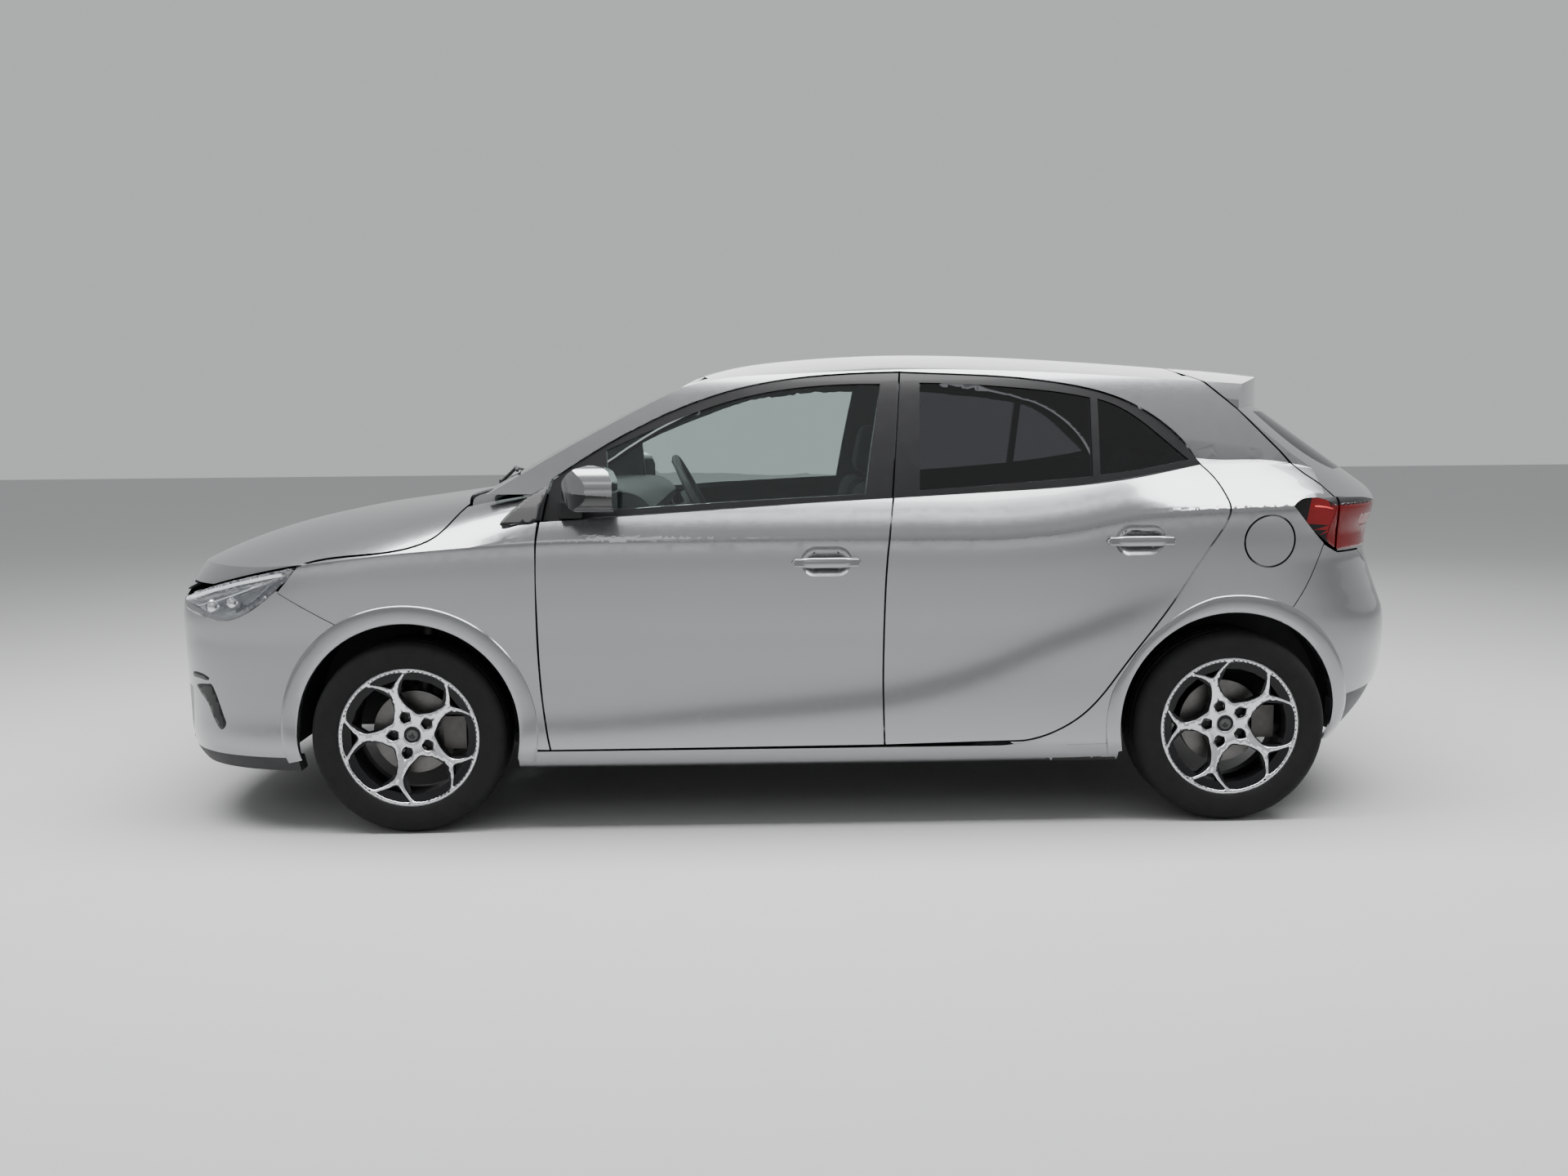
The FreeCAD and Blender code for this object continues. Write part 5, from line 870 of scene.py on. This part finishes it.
@dataclass
class Seats:
    """Seats as padded cloth pieces: rounded, crowned and with sewn channels.

    Args:
        rows: node, how far a seat's middle lies from the car's, and the top of its plastic base.
        voxel: grain of the cover's mesh.
        channels: how far the sewn channels lie from a seat's middle.
    """

    rows: Sequence[tuple[str, float, float]] = (("seats_front", 360, 402), ("seat_rear", 310, 428))
    voxel: float = 9.0
    channels: tuple[float, float] = (150, 58)

    def build(self) -> None:
        """Makes the covers from the CAD seats."""
        for node, middle, base in self.rows:
            mesh = read(node)
            rough = bpy.data.meshes.new(node + "_rough")
            rough.from_pydata(metres(mesh.points), [], mesh.faces)
            holder = hold(rough)
            grain = holder.modifiers.new("voxels", "REMESH")
            grain.mode = "VOXEL"
            grain.voxel_size = self.voxel * MM
            calm = holder.modifiers.new("calm", "SMOOTH")
            calm.iterations, calm.factor = 4, 0.5
            cover = baked(holder)
            cover.points += cover.normals * self.swell(cover.points, cover.normals, middle)[:, None]
            heights = np.array([cover.points[list(f), 2].mean() for f in cover.faces])
            piece = dress(node, cover, [F.CLOTH, F.CABIN], np.where(heights < base, 1, 0), None)

    def swell(self, p: np.ndarray, n: np.ndarray, middle: float) -> np.ndarray:
        """Millimetres by which the cover stands out, less along the sewn channels."""
        across = np.abs(np.abs(p[:, 1]) - middle)
        facing = np.clip(np.maximum(n[:, 2], -n[:, 0]), 0, 1)
        crown = 7.0 * facing * np.clip(1 - (across / 240) ** 2, 0, 1)
        lines = np.min([np.abs(across - at) for at in self.channels], axis=0)
        seams = 6.0 * facing * np.exp(-(lines / 6.0) ** 2)
        return np.where(p[:, 2] > 430, crown - seams, 0.0)


@dataclass
class Panels:
    """Painted and black body panels: copies of the CAD nodes with smooth normals and finishes by zone.

    Args:
        door_skin: depth at which a door's inner side begins.
        side_skin: the same for the body sides.
        black_below: height below which the body sides are black.
    """

    nodes: Sequence[str] = (
        "body_sides", "roof_panel", "hood", "front_fenders", "bumper_front", "bumper_rear", "tailgate",
        "door_front_left", "door_front_right", "door_rear_left", "door_rear_right")
    door_skin: float = 30
    side_skin: float = 40
    black_below: float = 216

    def build(self) -> None:
        """Makes all panels."""
        for node in self.nodes:
            mesh = refine(read(node), PANEL_EDGE)
            normals, outer = smooth_normals(mesh)
            slots = self.zones(node, *face_facts(mesh), outer)
            dress(node, mesh, [F.PAINT, F.BLACK, F.CABIN, F.LINING, F.UNDER], slots, normals)

    def zones(self, node: str, c: np.ndarray, n: np.ndarray, outer: np.ndarray) -> np.ndarray:
        """Slot of each face: 0 paint, 1 black trim, 2 cabin plastic, 3 roof lining, 4 underside.

        Args:
            c: centres of the faces.
            n: their normals.
            outer: whether they lie on the outermost surface.
        """
        x, y, z = c.T
        slots = np.zeros(len(c), int)
        depth = BodyForm.half(x, z) - np.abs(y)
        cabin_depth = -BodyForm.cabin(x, y, z)
        with np.errstate(all="ignore"):
            outward = graded(BodyForm.side, c)[1]
        inward = np.nan_to_num(np.einsum("ij,ij->i", outward, n)) < -0.35
        if node.startswith("door_"):
            window = z > BodyForm.belt(x) - 0.5
            slots[window] = 1
            slots[inward & (np.where(window, cabin_depth, depth) > self.door_skin)] = 2
        elif node == "body_sides":
            slots[inward & (np.where(z > WAIST_Z, cabin_depth, depth) > self.side_skin)] = 2
            slots[(z < self.black_below) & (depth < 60)] = 1
        elif node == "roof_panel":
            slots[n[:, 2] < -0.5] = 3
        elif node == "tailgate":
            slots[n[:, 0] < -0.4] = 2
        else:
            slots[~outer & inward] = 4
            if node == "hood":
                slots[n[:, 2] < -0.3] = 4
        return slots


@dataclass
class Glazing:
    """Windscreen, door glass and tailgate glass."""

    kinds: dict[str, F] = field(default_factory=lambda: {
        # The tailgate glass carries painted shade in its near-black colour.
        "windscreen": F.CLEAR, "tailgate_glass": F.SHADED_REAR_GLASS, "glass_front_left": F.CLEAR,
        "glass_front_right": F.CLEAR, "glass_rear_left": F.TINT, "glass_rear_right": F.TINT})

    def build(self) -> None:
        """Makes all glass."""
        for node, which in self.kinds.items():
            mesh = read(node)
            dress(node, mesh, [which], None, smooth_normals(mesh)[0])


@dataclass
class Plain:
    """CAD nodes that only need a finish."""

    kinds: dict[F, str] = field(default_factory=lambda: {
        F.UNDER: "underbody", F.DISC: "exhaust", F.GREY: "bumper_rear_lower", F.BLACK: "interior_mirror",
        F.STEEL: "engine_block front_suspension rear_axle knuckle_left knuckle_right",
        F.CABIN: "dashboard centre_console steering_wheel", F.PLATE: "plate_front plate_rear",
        F.PLASTIC: "fuel_tank cowl_and_wipers rear_wiper grille_front", F.PAINT: "spoiler fuel_flap"})

    def build(self) -> None:
        """Gives the nodes their finish."""
        for which, nodes in self.kinds.items():
            for node in nodes.split():
                materials = frame["nodes"][node].data.materials
                materials.clear()
                materials.append(BOX.get(which))


@dataclass
class Lamps:
    """Headlamps and tail lamps: a thin lens over a housing or bowl, with light guides under it."""

    bowl: Patch = field(default_factory=lambda: Patch([
        (-1530, 834), (-1619, 824), (-1713, 803), (-1817, 776), (-1903, 748), (-1970, 722), (-1968, 709),
        (-1903, 691), (-1854, 681), (-1806, 673), (-1744, 681), (-1678, 713), (-1596, 774)],
        lambda gap: -6 - 36 * ease(gap / 30), 9.0))
    guides: Sequence[tuple[str, F, float, float, Rows]] = (
        # The running light glows from painted light in its finish; the lamp is off.
        ("running_light", F.GLOW, 5.5, 9, (
            (-1955, 722), (-1900, 738), (-1817, 765), (-1713, 792), (-1619, 812), (-1575, 820))),
        ("lamp_rim", F.CHROME, 3.0, 13, (
            (-1960, 712), (-1880, 712), (-1800, 734), (-1700, 768), (-1640, 790))),
        # The tail guide's red glow is painted light in its finish; the lamp is off.
        ("tail_guide", F.RED_GUIDE_PAINTED_GLOW, 2.5, 5, ((1600, 996), (1640, 992), (1676, 984))))
    projectors: Sequence[tuple[float, float, float]] = ((-1822, 712, 27), (-1748, 727, 23))
    aim: float = 38.0

    @staticmethod
    def smoked(c: np.ndarray) -> np.ndarray:
        """Whether faces with these centres belong to the smoked part of a tail lamp."""
        return (c[:, 2] > 996) | (c[:, 0] < 1586 + (1010 - c[:, 2]) * 0.55)

    def shell(self, node: str, lens: Sequence[F], housing: Sequence[F] = ()) -> None:
        """Makes the lens from a lamp solid's outer faces, and from the others a housing with its finishes."""
        mesh = refine(read(node), LENS_EDGE)
        normals, outer = smooth_normals(mesh)
        centre, _ = face_facts(mesh)
        for part, keep, mats, wall in (("lens", outer, lens, 2.5), ("housing", ~outer, housing, 1.5)):
            if not mats:
                continue
            picked = np.nonzero(keep)[0]
            used, faces = compact([mesh.faces[i] for i in picked])
            is_lens = part == "lens"
            corner = normals.reshape(-1, 3, 3)[picked].reshape(-1, 3) if is_lens else None
            slots = self.smoked(centre[picked]) & (len(mats) > 1)
            obj = build("%s_%s" % (node, part), mesh.points[used], faces, mats, BODY_OF[node], slots, corner,
                        is_lens, [node] if is_lens else [])
            solidify(obj, wall)

    def build(self) -> None:
        """Makes all lamps."""
        self.shell("headlamps", [F.LENS])
        self.bowl.lay("lamp_bowl", F.REFLECTOR)
        for node in ("tail_lamps", "gate_lamps"):
            self.shell(node, [F.RED_LENS, F.SMOKE_LENS], [F.RED_DEPTH, F.BLACK])
        for name, which, radius, depth, path in self.guides:
            both(name, tube([BodyForm.over(x, z, -depth) for x, z in path], radius), which)
        aim = Matrix.Rotation(math.radians(self.aim), 4, "Z")
        for k, (x, z, r) in enumerate(self.projectors):
            points, faces = lathe([(1, -16), (r * 0.55, -12), (r * 0.85, -4), (r, 4), (r * 0.9, 8), (1, 12)],
                                  Vector(), 32)
            points = np.array([tuple(aim @ Vector(p)) for p in points]) + BodyForm.over(x, z, -30)
            both("projector_%d" % k, (points, faces), F.CHROME)


@dataclass(frozen=True)
class WheelSpec:
    """Where a wheel sits: its end and side of the car, and its hub's x and y."""

    end: str
    side: str
    x: float
    y: float

    @property
    def out(self) -> float:
        """Sign of the outward direction along Y."""
        return -1.0 if self.side == "left" else 1.0

    @property
    def name(self) -> str:
        """End and side, as they stand in node names."""
        return "%s_%s" % (self.end, self.side)


class SpokeFace:
    """Bright front of a wheel: five split spokes in a thin ring, over the dark solid behind it."""

    TURN, CAP, RIM = 17.0, 26.0, 217.5
    FACE_Y, NUT_Y = 86.0, 36.5
    DISH = ((0, 42), (34, 42), (60, 40), (187, 10), (212, 0), (218, 0))
    RINGS = (34, 47, 60, 80, 100, 120, 140, 160, 174, 187, 199, 212)
    HOLES = (
        (0, ((69, 0), (78, 13), (96, 24.5), (117, 29.5), (140, 31), (166, 27), (188, 21.5), (202, 16.5),
             (206.5, 10), (207, 4))),
        (36, ((160, 0), (178, 7.5), (196, 13.5), (204.5, 15), (207, 8), (207, 3))),
        (36, ((43, 8), (45, 15), (58, 17), (68, 12), (78, 3))))
    CAP_PROFILE = ((0.5, 44.5), (18, 44), (23, 42.5), (25.5, 40.5), (25.5, 34), (0.5, 34))

    def __init__(self) -> None:
        self.plate = self.cut()
        self.nuts = ring_of_nuts(count=5, pitch=57.0, radius=9.0, height=13.0)

    def depth(self, r: np.ndarray) -> np.ndarray:
        """How far the plate lies inward at a radius."""
        return np.interp(r, *np.array(self.DISH, float).T) - 0.5

    def loops(self) -> list[np.ndarray]:
        """Outlines of the openings about the hub."""
        found = []
        for centre, half in self.HOLES:
            whole = [*half, *((r, -a) for r, a in half[::-1] if a > 0.1)]
            for k in range(5):
                turned = [(r, math.radians(a + centre + 72 * k + self.TURN)) for r, a in whole]
                found.append(closed_curve([(r * math.sin(a), r * math.cos(a)) for r, a in turned]))
        return found

    def cut(self) -> Mesh:
        """The dished plate with its openings, whose Y grows outward, and one normal a vertex."""
        loops = self.loops()
        circle = np.array([(math.sin(a), math.cos(a)) for a in turns(180)])
        grid = np.concatenate([circle[::2] * r for r in self.RINGS])
        for loop in loops:
            grid = grid[~within(loop, grid) & (distance_to(loop, grid) > 2.0)]
        plane, tri = triangulate([*loops, circle * self.RIM, circle[::3] * self.CAP], grid, 0, 1e-5)
        middle = plane[tri].mean(axis=1)
        radius = np.hypot(*middle.T)
        good = (radius < self.RIM - 0.1) & (radius > self.CAP)
        for loop in loops:
            good &= ~within(loop, middle)
        x, z = plane.T
        r = np.hypot(x, z)
        rise = self.depth(r + 0.5) - self.depth(r - 0.5)
        normal = np.stack([x / (r + 1e-9) * rise, np.ones(len(r)), z / (r + 1e-9) * rise], axis=1)
        normal /= np.linalg.norm(normal, axis=1)[:, None]
        return Mesh(np.stack([x, -self.depth(r), z], axis=1), [tuple(t) for t in tri[good].tolist()], normal)

    def place(self, spec: WheelSpec) -> None:
        """Puts the plate, the cap and the nuts on one wheel."""
        body = "wheel_" + spec.name
        hub, flip = np.array([spec.x, spec.y, HUB_Z]), np.array([1, spec.out, 1])
        used, faces = compact(self.plate.faces)
        points = self.plate.points[used] * flip + np.array([spec.x, spec.y + spec.out * self.FACE_Y, HUB_Z])
        a, b, c = (points[[f[k] for f in faces]] for k in range(3))
        outward = np.cross(b - a, c - a)[:, 1] * spec.out > 0
        faces = [f if ok else f[::-1] for f, ok in zip(faces, outward)]
        corner = np.concatenate([(self.plate.normals[used] * flip)[list(f)] for f in faces])
        solidify(build("spokes_" + spec.name, points, faces, [F.ALLOY], body, None, corner), 1.5)
        cap, faces = lathe(self.CAP_PROFILE, Vector(), 40)
        if spec.side == "right":
            faces = [f[::-1] for f in faces]
        build("cap_" + spec.name, cap * flip + hub, faces, [F.GLOSS], body)
        lean = math.radians(36 + self.TURN)
        x, y, z = self.nuts.points.T
        spun = np.stack([x * math.cos(lean) + z * math.sin(lean), y + spec.out * self.NUT_Y,
                         z * math.cos(lean) - x * math.sin(lean)], axis=1)
        build("nuts_" + spec.name, spun + hub, self.nuts.faces, [F.STEEL], body, smooth=False)


@dataclass
class Wheels:
    """Turned-face alloy wheels, brake discs and tyres."""

    specs: list[WheelSpec] = field(default_factory=lambda: [
        WheelSpec(end, side, x, (-1 if side == "left" else 1) * y)
        for end, x, y in (("front", AXLE_F, 758.0), ("rear", AXLE_R, 756.0)) for side in ("left", "right")])
    tread_radius: float = 304.6
    half_width: float = 96.0
    grooves: tuple[float, float] = (54.0, 19.0)
    wall: Rows = ((218.6, 84.5), (224, 91.0), (236, 94.0), (250, 95.6), (266, 96.0), (279, 95.0), (289, 90.5),
                  (297, 83.0), (301.5, 74.0))

    def rim(self, spec: WheelSpec) -> None:
        """Wheel solid: bright at the rim's front, steel at the brake disc and dark elsewhere."""
        mesh = read("wheel_" + spec.name)
        x, y, z = face_facts(mesh)[0].T
        r = np.hypot(x - spec.x, z - HUB_Z)
        offset = (y - spec.y) * spec.out
        slots = np.ones(len(r), int)
        slots[(r > 208) & (offset > 70)] = 0
        slots[(r < 133) & (offset < 0)] = 2
        dress("wheel_" + spec.name, mesh, [F.ALLOY, F.WHEEL_BLACK, F.DISC], slots, mesh.normals)

    def tyre(self, spec: WheelSpec) -> None:
        """Tyre turned from its section, with four grooves round the tread."""
        right, top = list(self.wall), self.tread_radius
        for at in self.grooves:
            drop = (at / self.half_width) ** 2
            right += [(top - drop * 1.2, at + 4.5), (top - 7, at + 3.5), (top - 7, at - 3.5),
                      (top - drop, at - 4.5)]
        profile = [*right, *((r, -y) for r, y in right[::-1])]
        points, faces = lathe(profile, Vector((spec.x, spec.y, HUB_Z)), 128)
        tyre = Mesh(points, [f[::-1] for f in faces], np.zeros((0, 3)))
        dress("tyre_" + spec.name, tyre, [F.TYRE], None, None)

    def build(self) -> None:
        """Makes all wheels."""
        front = SpokeFace()
        for spec in self.specs:
            self.rim(spec)
            self.tyre(spec)
            front.place(spec)


@dataclass
class Mirrors:
    """Door mirrors: silver cap over a black lower part and a glass face."""

    nodes: Sequence[str] = ("mirror_left", "mirror_right")

    def build(self) -> None:
        """Makes both mirrors."""
        for node in self.nodes:
            mesh = read(node)
            centre, flat = face_facts(mesh)
            slots = np.where(centre[:, 2] > 1068 - (centre[:, 0] + 716) * 0.08, 0, 1)
            slots[flat[:, 0] > 0.9] = 2
            slots[np.abs(centre[:, 1]) < 850] = 1
            dress(node, mesh, [F.PAINT, F.GLOSS, F.MIRROR], slots, mesh.normals)


@dataclass
class Stage:
    """Floor, light and the camera of the photograph.

    Args:
        lamps: name, place, size and power of each area light.
        stand: where the camera stands, in metres.
        angles: the camera's yaw, its pitch down and its roll, in radians.
    """

    lamps: Sequence[tuple] = (
        ("top", (0, -0.7, 4.4), (9.0, 2.6), 800), ("near", (-2.5, -7.5, 4.6), (5, 1.6), 25),
        ("far", (1, 6.5, 3.6), (7, 2.5), 110))
    stand: tuple[float, float, float] = (-0.13025, -5.05828, 1.26991)
    angles: tuple[float, float, float] = (0.02113269, 0.12021013, 0.00927129)

    def build(self) -> None:
        """Makes the floor, the light and the camera."""
        scene = bpy.context.scene
        mesh = bpy.data.meshes.new("floor")
        mesh.from_pydata([(-30, -30, 0), (30, -30, 0), (30, 30, 0), (-30, 30, 0)], [], [(0, 1, 2, 3)])
        mesh.materials.append(BOX.mix(Finish("pale floor", (0.50, 0.50, 0.50), 0, 0.75, 0, 0.02, 0.05, 4)))
        floor = hold(mesh)
        world = bpy.data.worlds.new("room")
        world.use_nodes = True
        colour, strength = world.node_tree.nodes["Background"].inputs[:2]
        colour.default_value, strength.default_value = (0.80, 0.81, 0.82, 1), 0.66
        scene.world = world
        for name, place, size, power in self.lamps:
            lamp = bpy.data.lights.new(name, "AREA")
            lamp.shape = "RECTANGLE"
            lamp.size, lamp.size_y = size
            lamp.energy = power
            light = bpy.data.objects.new(name, lamp)
            light.location = place
            light.rotation_euler = (Vector((0, 0, 0.7)) - Vector(place)).to_track_quat("-Z", "Y").to_euler()
            scene.collection.objects.link(light)
        lens = bpy.data.cameras.new("camera")
        lens.lens, lens.sensor_width = 31.5945, 36.0
        scene.camera = bpy.data.objects.new("camera", lens)
        scene.camera.matrix_world = Matrix.Translation(self.stand) @ self.view()
        scene.collection.objects.link(scene.camera)

    def view(self) -> Matrix:
        """The camera's turn, from its angles."""
        yaw, pitch, roll = self.angles
        ahead = Vector((math.sin(yaw) * math.cos(pitch), math.cos(yaw) * math.cos(pitch), -math.sin(pitch)))
        right = Vector((math.cos(yaw), -math.sin(yaw), 0))
        down = ahead.cross(right)
        rolled_right = right * math.cos(roll) + down * math.sin(roll)
        rolled_down = down * math.cos(roll) - right * math.sin(roll)
        return Matrix((rolled_right, -rolled_down, -ahead)).transposed().to_4x4()


def main() -> None:
    """Builds every sub-assembly and the stage."""
    for part in (Plain, Panels, Glazing, Seats, Trim, Lamps, Wheels, Mirrors, Stage):
        part().build()
    LOG.info("built")


if __name__ == "__main__":
    main()
